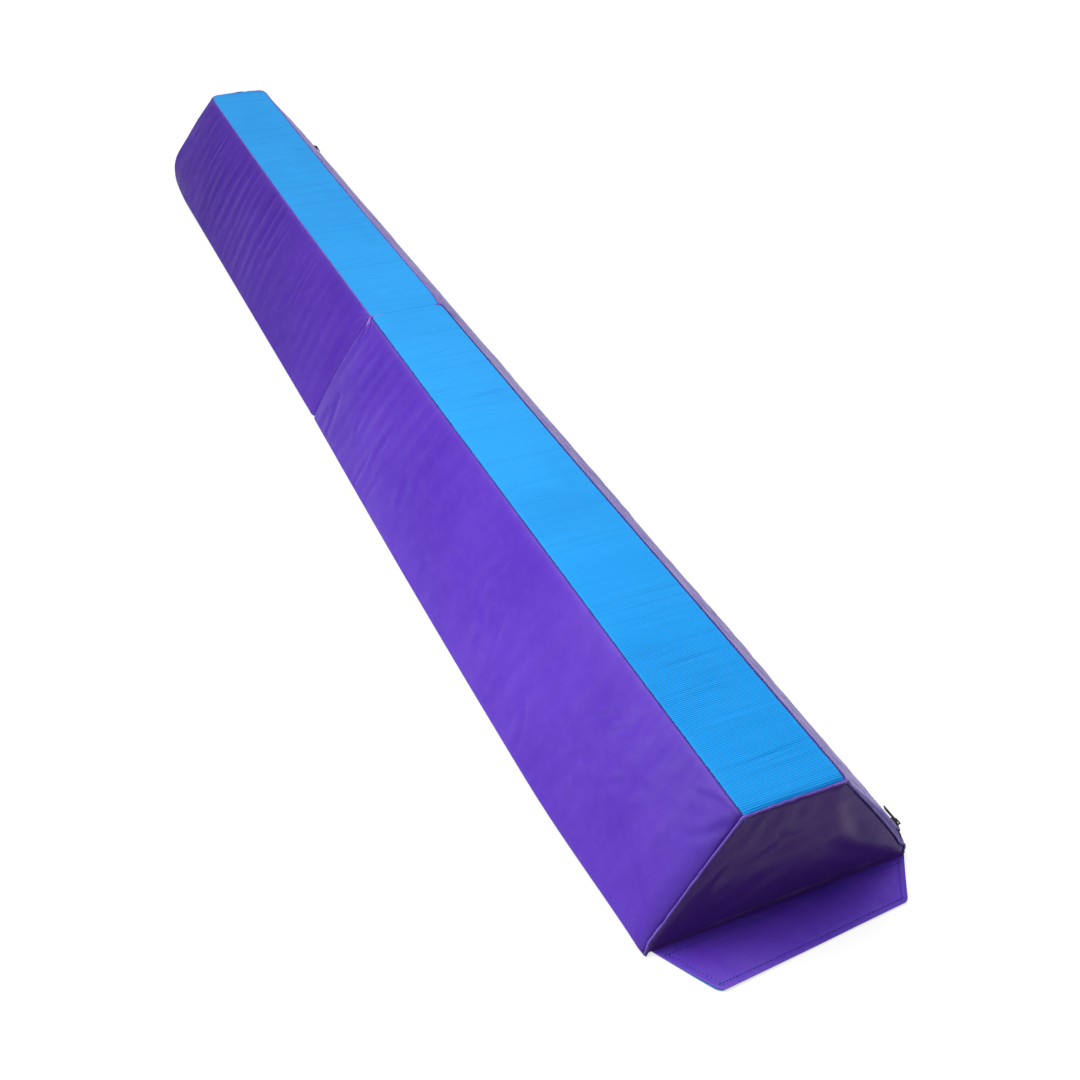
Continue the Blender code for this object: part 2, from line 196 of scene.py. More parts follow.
def settle(points, tag, ridge=0.0):
    """Rounds off the ends of a half, draws in the cover at the fold, and
    tapers the near bottom left corner. It acts on the whole section, so
    neighbouring panels stay together."""
    points = np.array(points, float)
    shape = points.shape
    points = points.reshape(-1, 3)
    x, y, z = points.T.copy()
    drop = np.zeros(len(x))
    keep = np.zeros(len(x))
    if tag == "far":
        a = np.clip((y - (Y_FAR - FAR_ROUND)) / FAR_ROUND, 0, 1)
        drop += FAR_DROP * (1 - np.sqrt(np.clip(1 - a ** 2.2, 0, 1)))
        gap = y - Y_FOLD - FOLD_CLEAR
    else:
        a = np.clip(((Y_NEAR + NEAR_ROUND) - y) / NEAR_ROUND, 0, 1)
        drop += NEAR_DROP * (1 - ridge) * (1 - np.sqrt(np.clip(1 - a ** 2, 0, 1)))
        keep = 0.8 * drop * np.clip(x / 0.06, 0, 1)
        gap = Y_FOLD - FOLD_CLEAR - y
    low = 1 - np.clip(z / HEIGHT, 0, 1)
    left, right = np.clip(-x / 0.1, 0, 1), np.clip(x / 0.06, 0, 1)
    radius = 0.0007 + 0.0085 * low ** 1.8 * (0.55 + 0.45 * left)
    b = np.clip(1 - np.maximum(gap, 0) / radius, 0, 1)
    drop += 0.75 * radius * (1 - np.sqrt(np.clip(1 - b * b, 0, 1)))
    half = BASE_W / 2 - SLOPE_X / HEIGHT * z
    z2 = z * (HEIGHT - drop) / HEIGHT
    half2 = BASE_W / 2 - (drop - keep) / SIDE_NX - SLOPE_X / HEIGHT * z2
    x = x * half2 / half
    if tag == "near":
        pull_in = smooth(Y_NEAR + TAPER_LEN, Y_NEAR - 0.01, y) ** 1.3
        x = x + TAPER * pull_in * np.clip(-x / 0.18, 0, 1) * (0.25 + 0.75 * low)
        toe = smooth(0.1570, 0.1660, -x) * low ** 3 * smooth(Y_NEAR + 0.030, Y_NEAR, y)
        y = y - 0.0045 * toe
        # fuller along the left foot, and a little wider on top to the right
        middle = np.sin(math.pi * np.clip((y - Y_NEAR) / (Y_FOLD - Y_NEAR), 0, 1))
        x = x - 0.0045 * left * low * middle
        x = x + 0.0032 * right * (1 - low) ** 2 * smooth(-0.35, -1.0, y)
    else:
        px = np.clip(np.abs(x) / half2, 0, 1)
        up = np.clip(z / HEIGHT, 0, 1)
        zip_side = smooth(-0.03, 0.05, x)
        reach = 0.060 - 0.026 * zip_side
        end = np.clip((y - Y_FAR + reach) / reach, 0, 1) ** 1.3 * (1 - 0.4 * zip_side)
        foot, head = px ** 5 * (1 - up) ** 7, px ** 7 * up ** 5
        rim = np.maximum(px, np.abs(2 * up - 1)) ** 4 * (1 - 0.7 * up ** 2)
        y = y - end * (FAR_ARCH * rim + FAR_CORNER * foot + 0.45 * FAR_CORNER * head)
        x = x - np.sign(x) * end * (0.016 * foot * right + 0.0030 * head)
        x = x + 0.0175 * left * foot * np.clip((y - Y_FAR + 0.20) / 0.20, 0, 1) ** 1.8
        z2 = z2 + 0.013 * end * foot
        ahead = np.clip((y - Y_FAR + 0.09) / 0.09, 0, 1) ** 1.3
        y = y + 0.011 * ahead * (1 - px ** 6) * up ** 3
        x = x - 0.0062 * left * px ** 4 * np.exp(-((up - 0.22) / 0.20) ** 2) \
            * np.clip((y - Y_FAR + 0.16) / 0.15, 0, 1) ** 1.5
        x = x + FAR_LEAN * up ** 2.5 * np.clip((y - 0.45) / 0.78, 0, 1) ** 1.6
        # the fold's seam draws in the right edge
        x = x - 0.0042 * right * up * np.exp(-np.maximum(gap, 0) / 0.020)
    return np.stack([x, y, z2], -1).reshape(shape)


def side_surface(s, y, side, out):
    """Points on a side panel, out along its normal."""
    bulge = bulge_at(s, y, side) + out
    x = TOP_W / 2 + SLOPE_X * s + SIDE_NX * bulge
    z = HEIGHT * (1 - s) + SIDE_NZ * bulge
    return np.stack([side * x, np.broadcast_to(y, x.shape), z], -1)


# ------------------------------------------------------------------- meshes
def mesh_object(name, verts, quads=None, tris=None, attributes=None):
    verts = np.asarray(verts, float).reshape(-1, 3)
    quads = np.zeros((0, 4), int) if quads is None else np.asarray(quads, int).reshape(-1, 4)
    tris = np.zeros((0, 3), int) if tris is None else np.asarray(tris, int).reshape(-1, 3)
    used = np.unique(np.concatenate([quads.ravel(), tris.ravel()]))
    remap = np.full(len(verts), -1)
    remap[used] = np.arange(len(used))
    verts, quads, tris = verts[used], remap[quads], remap[tris]
    volume = 0.0
    for f in (quads[:, [0, 1, 2]], quads[:, [0, 2, 3]], tris):
        if len(f):
            volume += np.einsum("ij,ij->", verts[f[:, 0]],
                                np.cross(verts[f[:, 1]], verts[f[:, 2]]))
    if volume < 0:
        quads, tris = quads[:, ::-1], tris[:, ::-1]
    mesh = bpy.data.meshes.new(name)
    mesh.vertices.add(len(verts))
    mesh.vertices.foreach_set("co", verts.astype(np.float32).ravel())
    loops = np.concatenate([quads.ravel(), tris.ravel()]).astype(np.int32)
    starts = np.concatenate([np.arange(len(quads)) * 4,
                             4 * len(quads) + np.arange(len(tris)) * 3]).astype(np.int32)
    mesh.loops.add(len(loops))
    mesh.loops.foreach_set("vertex_index", loops)
    mesh.polygons.add(len(starts))
    mesh.polygons.foreach_set("loop_start", starts)
    mesh.update(calc_edges=True)
    mesh.validate()
    mesh.polygons.foreach_set("use_smooth", np.ones(len(mesh.polygons), bool))
    for key, values in (attributes or {}).items():
        layer = mesh.attributes.new(key, "FLOAT", "POINT")
        layer.data.foreach_set("value", np.asarray(values, np.float32).ravel()[used])
    obj = bpy.data.objects.new(name, mesh)
    bpy.context.scene.collection.objects.link(obj)
    return obj


def shell_faces(nu, nv, mask=None):
    """Faces of a closed shell between two grids of nu by nv points, the second
    grid's numbers following the first's. Cells off the mask are left open and
    walled round."""
    count = nu * nv
    grid = np.arange(count).reshape(nu, nv)
    a, b, c, d = grid[:-1, :-1], grid[1:, :-1], grid[1:, 1:], grid[:-1, 1:]
    if mask is None:
        mask = np.ones((nu - 1, nv - 1), bool)
    pad = np.zeros((nu + 1, nv + 1), bool)
    pad[1:-1, 1:-1] = mask
    faces = [np.stack([a, b, c, d], -1)[mask],
             np.stack([d, c, b, a], -1)[mask] + count]
    for p, q, other in ((a, b, pad[1:-1, :-2]), (b, c, pad[2:, 1:-1]),
                        (c, d, pad[1:-1, 2:]), (d, a, pad[:-2, 1:-1])):
        edge = mask & ~other
        faces.append(np.stack([q[edge], p[edge], p[edge] + count, q[edge] + count], -1))
    return np.concatenate(faces)


def shell(name, outer, inner, mask=None, attributes=None):
    nu, nv = outer.shape[:2]
    verts = np.concatenate([outer.reshape(-1, 3), inner.reshape(-1, 3)])
    both = {k: np.concatenate([v.ravel(), v.ravel()]) for k, v in (attributes or {}).items()}
    return mesh_object(name, verts, shell_faces(nu, nv, mask), attributes=both)


def tube_parts(points, radius, sides=8, flat=1.0):
    """Closed tube along points: verts, quads and tris. flat squeezes it."""
    points = np.asarray(points, float)
    n = len(points)
    radius = np.broadcast_to(radius, (n,))
    tangent = np.gradient(points, axis=0)
    tangent /= np.linalg.norm(tangent, axis=1)[:, None]
    start = np.array([0.0, 0.0, 1.0]) if abs(tangent[0, 2]) < 0.8 else np.array([0.0, 1.0, 0.0])
    normal = start - tangent[0] * (start @ tangent[0])
    normals = []
    for t in tangent:
        normal = normal - t * (normal @ t)
        normal = normal / np.linalg.norm(normal)
        normals.append(normal)
    normals = np.array(normals)
    side = np.cross(tangent, normals)
    angle = np.arange(sides) / sides * 2 * math.pi
    ring = (points[:, None] + radius[:, None, None] * (
        np.cos(angle)[None, :, None] * normals[:, None]
        + flat * np.sin(angle)[None, :, None] * side[:, None]))
    verts = np.concatenate([ring.reshape(-1, 3), points[:1] - tangent[:1] * radius[0] * 0.5,
                            points[-1:] + tangent[-1:] * radius[-1] * 0.5])
    i = np.arange(n - 1)[:, None] * sides
    k = np.arange(sides)[None]
    k2 = (k + 1) % sides
    quads = np.stack([i + k, i + k2, i + sides + k2, i + sides + k], -1).reshape(-1, 4)
    k, k2 = k[0], k2[0]
    last = (n - 1) * sides
    tris = np.concatenate([
        np.stack([np.full(sides, n * sides), k2, k], -1),
        np.stack([np.full(sides, n * sides + 1), last + k, last + k2], -1)])
    return verts, quads, tris


def gather(parts):
    """Joins (verts, quads, tris) lists into one."""
    verts, quads, tris, base = [], [], [], 0
    for v, q, t in parts:
        verts.append(v)
        quads.append(np.asarray(q).reshape(-1, 4) + base)
        tris.append(np.asarray(t).reshape(-1, 3) + base)
        base += len(v)
    return np.concatenate(verts), np.concatenate(quads), np.concatenate(tris)


def stitch_parts(centres, along, up, length, radius, sides=6):
    """Thread stitches: each a short arc of thread that dives in at both ends."""
    centres, along, up = (np.asarray(a, float) for a in (centres, along, up))
    along = along / np.linalg.norm(along, axis=1)[:, None]
    up = up - along * np.sum(up * along, 1)[:, None]
    up = up / np.linalg.norm(up, axis=1)[:, None]
    across = np.cross(along, up)
    stations = ((-0.36, 0.80, 0.10), (-0.18, 1.0, 0.55), (0.18, 1.0, 0.55), (0.36, 0.80, 0.10))
    local = [(-0.5 * length, 0.0, -0.9 * radius)]
    angle = np.arange(sides) / sides * 2 * math.pi
    for place, size, lift in stations:
        for a in angle:
            local.append((place * length, radius * size * math.cos(a),
                          radius * (size * math.sin(a) + lift)))
    local.append((0.5 * length, 0.0, -0.9 * radius))
    local = np.array(local)
    verts = (centres[:, None] + local[None, :, 0:1] * along[:, None]
             + local[None, :, 1:2] * across[:, None] + local[None, :, 2:3] * up[:, None])
    k = np.arange(sides)
    k2 = (k + 1) % sides
    quads = np.concatenate([np.stack([1 + r * sides + k, 1 + r * sides + k2,
                                      1 + (r + 1) * sides + k2, 1 + (r + 1) * sides + k], -1)
                            for r in range(3)])
    end = 1 + 4 * sides
    tris = np.concatenate([np.stack([np.zeros(sides, int), 1 + k2, 1 + k], -1),
                           np.stack([np.full(sides, end), 1 + 3 * sides + k,
                                     1 + 3 * sides + k2], -1)])
    base = (np.arange(len(centres)) * len(local))[:, None, None]
    return (verts.reshape(-1, 3), (quads[None] + base).reshape(-1, 4),
            (tris[None] + base).reshape(-1, 3))


def box_parts(centres, ex, ey, ez, hx, hy, hz, chamfer=0.3):
    """Small chamfered blocks with their tops narrowed, one for each centre."""
    c = 1 - chamfer
    local = np.array([(-1, -1, -1), (1, -1, -1), (1, 1, -1), (-1, 1, -1),
                      (-1, -1, 0.35), (1, -1, 0.35), (1, 1, 0.35), (-1, 1, 0.35),
                      (-c, -c, 1), (c, -c, 1), (c, c, 1), (-c, c, 1)], float)
    verts = (centres[:, None] + local[None, :, 0:1] * ex * hx
             + local[None, :, 1:2] * ey * hy + local[None, :, 2:3] * ez * hz)
    quads = [(3, 2, 1, 0), (8, 9, 10, 11)]
    for lo, hi in ((0, 4), (4, 8)):
        for k in range(4):
            k2 = (k + 1) % 4
            quads.append((lo + k, lo + k2, hi + k2, hi + k))
    base = (np.arange(len(centres)) * 12)[:, None, None]
    return (verts.reshape(-1, 3), (np.array(quads)[None] + base).reshape(-1, 4),
            np.zeros((0, 3), int))


# ---------------------------------------------------------------- materials
class Nodes:
    """A node material under construction."""

    def __init__(self, name):
        self.mat = bpy.data.materials.new(name)
        self.mat.use_nodes = True
        self.tree = self.mat.node_tree
        self.tree.nodes.clear()
        out = self.tree.nodes.new("ShaderNodeOutputMaterial")
        self.shader = self.tree.nodes.new("ShaderNodeBsdfPrincipled")
        self.link(self.shader.outputs[0], out.inputs["Surface"])
        self.place = self.tree.nodes.new("ShaderNodeTexCoord").outputs["Object"]

    def link(self, a, b):
        self.tree.links.new(a, b)

    def put(self, value, socket):
        if isinstance(value, bpy.types.NodeSocket):
            self.link(value, socket)
        else:
            socket.default_value = value

    def noise(self, scale, detail=3.0, rough=0.55, stretch=None, distort=0.0):
        node = self.tree.nodes.new("ShaderNodeTexNoise")
        node.inputs["Scale"].default_value = scale
        node.inputs["Detail"].default_value = detail
        node.inputs["Roughness"].default_value = rough
        node.inputs["Distortion"].default_value = distort
        place = self.place
        if stretch:
            mapping = self.tree.nodes.new("ShaderNodeMapping")
            mapping.inputs["Scale"].default_value = stretch
            self.link(place, mapping.inputs["Vector"])
            place = mapping.outputs[0]
        self.link(place, node.inputs["Vector"])
        return node.outputs["Fac"]

    def voronoi(self, scale):
        node = self.tree.nodes.new("ShaderNodeTexVoronoi")
        node.inputs["Scale"].default_value = scale
        self.link(self.place, node.inputs["Vector"])
        return node.outputs["Distance"]

    def attribute(self, name):
        node = self.tree.nodes.new("ShaderNodeAttribute")
        node.attribute_name = name
        return node.outputs["Fac"]

    def axis(self, index):
        node = self.tree.nodes.new("ShaderNodeSeparateXYZ")
        self.link(self.place, node.inputs[0])
        return node.outputs[index]

    def math(self, operation, a, b=0.0, c=0.0):
        node = self.tree.nodes.new("ShaderNodeMath")
        node.operation = operation
        for value, socket in zip((a, b, c), node.inputs):
            self.put(value, socket)
        return node.outputs[0]

    def span(self, value, a, b, c, d):
        node = self.tree.nodes.new("ShaderNodeMapRange")
        for v, socket in zip((value, a, b, c, d), node.inputs):
            self.put(v, socket)
        return node.outputs[0]

    def mix(self, factor, a, b, mode="MIX"):
        node = self.tree.nodes.new("ShaderNodeMix")
        node.data_type = "RGBA"
        node.blend_type = mode
        self.put(factor, node.inputs[0])
        for value, socket in ((a, node.inputs[6]), (b, node.inputs[7])):
            if isinstance(value, tuple):
                value = (*value[:3], 1.0)
            self.put(value, socket)
        return node.outputs[2]

    def bump(self, height, strength, distance, before=None):
        node = self.tree.nodes.new("ShaderNodeBump")
        node.inputs["Strength"].default_value = strength
        node.inputs["Distance"].default_value = distance
        self.link(height, node.inputs["Height"])
        if before:
            self.link(before, node.inputs["Normal"])
        return node.outputs[0]

    def finish(self, colour, roughness, normal=None, **sockets):
        self.put(colour, self.shader.inputs["Base Color"])
        self.put(roughness, self.shader.inputs["Roughness"])
        if normal:
            self.link(normal, self.shader.inputs["Normal"])
        for key, value in sockets.items():
            self.shader.inputs[key.replace("_", " ")].default_value = value
        return self.mat


def vinyl(name, deep, light, worn_and_highlight, grain=1.0, shine=1.0):
    """Coated PVC cloth: soft sheen, mottling, a lighter line along its seams that is partly rubbing
    and partly painted highlight, and painted shade where its shade attribute is set.
    """
    n = Nodes(name)
    colour = n.mix(n.span(n.noise(5.0, 4.0, 0.6), 0.3, 0.7, 0.0, 1.0), deep, light)
    fine = n.noise(70.0, 5.0, 0.65)
    colour = n.mix(n.span(fine, 0.45, 0.75, 0.0, 0.11), colour, worn_and_highlight)
    scuff = n.noise(22.0, 6.0, 0.7, (1.0, 0.35, 1.0), 0.6)
    marks = n.noise(55.0, 4.0, 0.7, (1.0, 0.22, 1.0), 1.2)
    colour = n.mix(n.span(marks, 0.60, 0.74, 0.0, 0.15), colour, worn_and_highlight)
    # lighter where the attribute is set: partly rubbing along seams, partly painted highlights on
    # wrinkle ridges, the fold and the end seam's shaded side
    wear_and_highlight = n.math("MULTIPLY", n.attribute("wear_and_highlight"), n.span(scuff, 0.35, 0.65, 0.35, 1.0))
    colour = n.mix(wear_and_highlight, colour, worn_and_highlight)
    # painted shade: darkened towards a dark copy of the deep colour where the shade attribute is set
    colour = n.mix(n.attribute("shade"), colour, tuple(0.36 * c for c in deep))
    rough = n.span(n.noise(38.0, 4.0, 0.6), 0.3, 0.7, 0.31, 0.46)
    normal = n.bump(n.noise(900.0, 3.0, 0.6), 0.10 * grain, 0.00025)
    normal = n.bump(n.noise(160.0, 3.0, 0.5), 0.16, 0.0006, normal)
    return n.finish(colour, rough, normal, Specular_IOR_Level=0.30 * shine,
                    Coat_Weight=0.06 * shine, Coat_Roughness=0.25)


def ribbed(name, dark, mid, light, pitch=RIB_PITCH, yarn=0.0013):
    """Ribbed cloth: cords across the beam, each crossed by fine yarns."""
    n = Nodes(name)
    x, y = n.axis(0), n.axis(1)
    wander = n.math("MULTIPLY", n.math("SUBTRACT", n.noise(9.0, 2.0), 0.5), 0.0016)
    y = n.math("ADD", y, wander)
    row = n.math("DIVIDE", y, pitch)
    rib = n.math("MULTIPLY_ADD", n.math("COSINE", n.math("MULTIPLY", row, 2 * math.pi)), 0.5, 0.5)
    odd = n.math("MULTIPLY", n.math("FLOOR", n.math("ADD", row, 0.5)), math.pi)
    thread = n.math("SINE", n.math("MULTIPLY_ADD", x, 2 * math.pi / yarn, odd))
    thread = n.math("MULTIPLY_ADD", thread, 0.5, 0.5)
    weave = n.math("MULTIPLY", rib, n.math("MULTIPLY_ADD", thread, 0.45, 0.55))
    # darker in the valleys between the cords and yarns: painted shade
    colour = n.mix(n.span(weave, 0.0, 0.42, 0.0, 1.0), dark, mid)
    patch = n.noise(9.0, 3.0, 0.5, (1.0, 1.6, 1.0))
    # paler from the near end on along the beam, and in random patches
    paler = n.math("ADD", n.span(y, -0.95, -0.35, 0.0, 0.60), n.span(patch, 0.3, 0.7, 0.0, 0.16))
    colour = n.mix(paler, colour, light)
    streak = n.noise(60.0, 2.0, 0.5, (0.05, 3.0, 1.0))
    colour = n.mix(n.span(streak, 0.55, 0.80, 0.0, 0.28), colour, dark)
    # lighter where the attribute is set: partly rubbing along the seams, partly a painted highlight
    # at the fold
    colour = n.mix(n.math("MULTIPLY", n.attribute("wear_and_highlight"), 0.55), colour, light)
    normal = n.bump(weave, 0.55, 0.00035)
    normal = n.bump(n.noise(1500.0, 2.0, 0.6), 0.12, 0.0002, normal)
    return n.finish(colour, n.span(fine_rough(n), 0.3, 0.7, 0.55, 0.72), normal,
                    Specular_IOR_Level=0.15, Sheen_Weight=0.05, Sheen_Roughness=0.45)


def fine_rough(n):
    return n.noise(260.0, 3.0, 0.6)


def woven(name, dark, light, pitch, rough=(0.7, 0.85), sheen=0.2, wear_and_highlight=False):
    """Plain weave in two directions, for tape, base cloth and lining."""
    n = Nodes(name)
    k = 2 * math.pi / pitch
    a = n.math("SINE", n.math("MULTIPLY", n.math("ADD", n.axis(0), n.axis(2)), k))
    b = n.math("SINE", n.math("MULTIPLY", n.axis(1), k))
    grid = n.math("MULTIPLY_ADD", n.math("MULTIPLY", a, b), 0.5, 0.5)
    colour = n.mix(grid, dark, light)
    colour = n.mix(n.span(n.noise(18.0, 5.0, 0.65), 0.35, 0.7, 0.0, 0.5), colour, dark)
    normal = n.bump(grid, 0.4, pitch * 0.2)
    return n.finish(colour, n.span(n.noise(300.0), 0.3, 0.7, *rough), normal,
                    Specular_IOR_Level=0.25, Sheen_Weight=sheen)


def thread(name, dark, light):
    """Twisted sewing thread."""
    n = Nodes(name)
    twist = n.math("SINE", n.math("MULTIPLY", n.math("ADD", n.math("ADD", n.axis(0), n.axis(1)),
                                                     n.axis(2)), 2 * math.pi / 0.0007))
    twist = n.math("MULTIPLY_ADD", twist, 0.5, 0.5)
    colour = n.mix(twist, dark, light)
    colour = n.mix(n.span(n.noise(60.0), 0.35, 0.7, 0.0, 0.5), colour, dark)
    return n.finish(colour, n.span(n.noise(400.0), 0.3, 0.7, 0.5, 0.65),
                    n.bump(twist, 0.4, 0.0001), Specular_IOR_Level=0.35)


def black_part(name, base, edge, rough, metallic=0.0, grain=600.0, spec=0.35):
    """Moulded black plastic, or black painted metal."""
    n = Nodes(name)
    colour = n.mix(n.span(n.noise(140.0, 5.0, 0.7), 0.5, 0.8, 0.0, 0.5), base, edge)
    blotch = n.noise(900.0, 4.0, 0.7)
    normal = n.bump(n.noise(grain, 3.0), 0.12, 0.0002)
    return n.finish(colour, n.span(blotch, 0.3, 0.7, rough - 0.06, rough + 0.10), normal,
                    Metallic=metallic, Specular_IOR_Level=spec)


def foam_material(name):
    n = Nodes(name)
    cells = n.voronoi(420.0)
    colour = n.mix(n.span(cells, 0.0, 0.6, 0.0, 1.0), (0.40, 0.38, 0.33), (0.66, 0.63, 0.57))
    colour = n.mix(n.span(n.noise(12.0), 0.4, 0.7, 0.0, 0.5), colour, (0.62, 0.56, 0.44))
    return n.finish(colour, n.span(n.noise(200.0), 0.3, 0.7, 0.85, 0.95),
                    n.bump(cells, 0.5, 0.0008), Specular_IOR_Level=0.1)


def floor_material():
    n = Nodes("studio_floor")
    shade = n.noise(0.7, 2.0)
    colour = n.mix(n.span(shade, 0.3, 0.7, 0.0, 1.0), (0.38, 0.38, 0.38), (0.40, 0.40, 0.40))
    return n.finish(colour, n.span(n.noise(3.0), 0.3, 0.7, 0.85, 0.95), Specular_IOR_Level=0.0,
                    Emission_Color=(1.0, 1.0, 1.0, 1.0), Emission_Strength=0.67)


PURPLE_DEEP = (0.078, 0.021, 0.430)
PURPLE_LIGHT = (0.108, 0.034, 0.520)
# lighter purple, for rubbing along seams and for painted highlights
PURPLE_WORN_AND_HIGHLIGHT = (0.200, 0.105, 0.600)
BLUE_DARK = (0.001, 0.150, 0.520)
BLUE_MID = (0.006, 0.370, 0.930)
BLUE_LIGHT = (0.030, 0.425, 0.985)

MAT = {
    "vinyl": vinyl("purple_vinyl", PURPLE_DEEP, PURPLE_LIGHT, PURPLE_WORN_AND_HIGHLIGHT),
    "near_left_vinyl": vinyl("purple_vinyl_satin", (0.082, 0.026, 0.420), (0.114, 0.042, 0.505),
                             PURPLE_WORN_AND_HIGHLIGHT, 1.0, 0.40),
    "far_left_vinyl": vinyl("purple_vinyl_matt", (0.082, 0.028, 0.400), (0.112, 0.043, 0.480),
                            PURPLE_WORN_AND_HIGHLIGHT, 1.0, 0.08),
    # a darker, greyer copy of the purple vinyl for the end panels: painted shade, with painted
    # reflection in its greyness
    "end_vinyl": vinyl("purple_end_vinyl", (0.082, 0.024, 0.262), (0.104, 0.032, 0.310),
                       (0.17, 0.10, 0.42), 1.0, 0.5),
    "welt": vinyl("purple_welt_vinyl", (0.080, 0.030, 0.360), (0.130, 0.060, 0.500),
                  (0.25, 0.16, 0.62), 1.6),
    "flap": vinyl("purple_flap_vinyl", PURPLE_DEEP, PURPLE_LIGHT, PURPLE_WORN_AND_HIGHLIGHT, 1.3),
    "blue": ribbed("blue_ribbed_fabric", BLUE_DARK, BLUE_MID, BLUE_LIGHT),
    "base": woven("blue_base_fabric", (0.004, 0.12, 0.42), (0.010, 0.24, 0.66), 0.0016),
    "lining": woven("blue_lining_fabric", (0.004, 0.15, 0.52), (0.012, 0.30, 0.80), 0.0012),
    "foam": foam_material("foam_block"),
    "hinge": woven("hinge_cloth", (0.075, 0.036, 0.30), (0.15, 0.08, 0.50), 0.0014),
    "tape": woven("zip_tape_weave", (0.010, 0.010, 0.014), (0.045, 0.042, 0.055), 0.0011),
    "teeth": black_part("zip_chain_plastic", (0.010, 0.010, 0.013), (0.05, 0.05, 0.055), 0.38),
    "metal": black_part("zip_metal_black", (0.004, 0.004, 0.005), (0.030, 0.029, 0.032), 0.42, 0.1,
                        spec=0.22),
    "blue_thread": thread("blue_thread", (0.004, 0.030, 0.28), (0.010, 0.085, 0.50)),
    "dark_thread": thread("dark_thread", (0.035, 0.012, 0.180), (0.080, 0.035, 0.34)),
    "lilac_thread": thread("lilac_thread", (0.22, 0.09, 0.50), (0.40, 0.22, 0.74)),
    "whisker": thread("knot_thread", (0.30, 0.16, 0.62), (0.46, 0.30, 0.82)),
}


def put_on(obj, mat):
    obj.data.materials.clear()
    obj.data.materials.append(MAT[mat])
    return obj


def piece(obj, body, mat, stands_for=()):
    put_on(obj, mat)
    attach(obj, body)
    if stands_for:
        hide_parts(*stands_for)
    return obj


# ------------------------------------------------------------ sewn wrinkles
def drape(size, stretch, squeeze, shear, bend, seed, step=0.0066, frames=24):
    """Wrinkles of a cloth panel, simulated flat: its border is pinned, then
    stretched across, squeezed along and sheared a little. Heights on a grid."""
    nu, nv = round(size[0] / step) + 1, round(size[1] / step) + 1
    u, v = np.meshgrid(np.linspace(0, size[0], nu), np.linspace(0, size[1], nv), indexing="ij")
    edge = np.minimum(np.minimum(u, size[0] - u), np.minimum(v, size[1] - v))
    z = 0.0004 * lattice_noise(u, v, 0.020, 0.024, seed) * smooth(0, 0.012, edge)
    flat = np.stack([u, v, z], -1)
    pulled = np.stack([size[0] / 2 + (u - size[0] / 2) * (1 + stretch),
                       size[1] / 2 + (v - size[1] / 2) * (1 - squeeze) + shear * (u - size[0] / 2),
                       z], -1)
    grid = np.arange(nu * nv).reshape(nu, nv)
    quads = np.stack([grid[:-1, :-1], grid[1:, :-1], grid[1:, 1:], grid[:-1, 1:]], -1)
    panel = mesh_object("draped_panel", flat, quads.reshape(-1, 4))
    border = np.unique(np.concatenate([grid[0], grid[-1], grid[:, 0], grid[:, -1]]))
    panel.vertex_groups.new(name="sewn").add(border.tolist(), 1.0, "REPLACE")
    panel.shape_key_add(name="flat")
    key = panel.shape_key_add(name="pulled", from_mix=False)
    key.data.foreach_set("co", pulled.astype(np.float32).ravel())
    key.value = 0.0
    key.keyframe_insert("value", frame=1)
    key.value = 1.0
    key.keyframe_insert("value", frame=9)
    cloth = panel.modifiers.new("cloth", "CLOTH")
    settings = cloth.settings
    settings.quality = 6
    settings.mass = 0.2
    settings.air_damping = 3.0
    settings.tension_stiffness = settings.compression_stiffness = 15.0
    settings.shear_stiffness = 5.0
    settings.bending_stiffness = bend
    settings.vertex_group_mass = "sewn"
    settings.effector_weights.gravity = 0.0
    cloth.collision_settings.use_collision = False
    cloth.point_cache.frame_start, cloth.point_cache.frame_end = 1, frames
    stage = bpy.context.scene
    for frame_number in range(1, frames + 1):
        stage.frame_set(frame_number)
    shown = panel.evaluated_get(bpy.context.evaluated_depsgraph_get())
    places = np.zeros(nu * nv * 3, np.float32)
    shown.data.vertices.foreach_get("co", places)
    heights = places.reshape(nu, nv, 3)[..., 2].astype(float)
    stage.frame_set(1)
    mesh, keys = panel.data, panel.data.shape_keys
    action = keys.animation_data.action
    bpy.data.objects.remove(panel, do_unlink=True)
    bpy.data.meshes.remove(mesh)
    bpy.data.actions.remove(action)
    return np.nan_to_num(heights)


def spline_at(grid, u, v):
    """A grid's values, smoothed by a cubic spline, at u and v from 0 to 1."""
    nu, nv = grid.shape
    a, b = np.clip(u, 0, 1) * (nu - 1), np.clip(v, 0, 1) * (nv - 1)
    i, j = np.floor(a).astype(int), np.floor(b).astype(int)
    total = np.zeros(np.broadcast(a, b).shape)
    for p, wa in enumerate(spline_weights(a - i)):
        for q, wb in enumerate(spline_weights(b - j)):
            total += wa * wb * grid[np.clip(i + p - 1, 0, nu - 1), np.clip(j + q - 1, 0, nv - 1)]
    return total


def spline_weights(t):
    return ((1 - t) ** 3 / 6, (3 * t ** 3 - 6 * t ** 2 + 4) / 6,
            (-3 * t ** 3 + 3 * t ** 2 + 3 * t + 1) / 6, t ** 3 / 6)


DRAPED = {}
PULLS = {("far", -1): (0.003, 0.0060, -0.002, 3.0), ("near", -1): (0.002, 0.0026, 0.001, 1.5),
         ("far", 1): (0.002, 0.0035, -0.008, 0.3), ("near", 1): (0.002, 0.0035, -0.006, 0.3),
         ("far", 0): (-0.004, 0.007, 0.010, 1.5), ("near", 0): (-0.004, 0.007, -0.008, 1.5)}


def draped(tag, side, u, v):
    """Simulated wrinkles of a side panel (side -1 or 1) or an end panel (0)
    at u and v from 0 to 1."""
    if (tag, side) not in DRAPED:
        size = (SLOPE_LEN, LENGTH / 2) if side else (0.170, 0.260)
        DRAPED[tag, side] = drape(size, *PULLS[tag, side], HALVES[tag]["seed"] + 31 + side)
    return spline_at(DRAPED[tag, side], u, v)


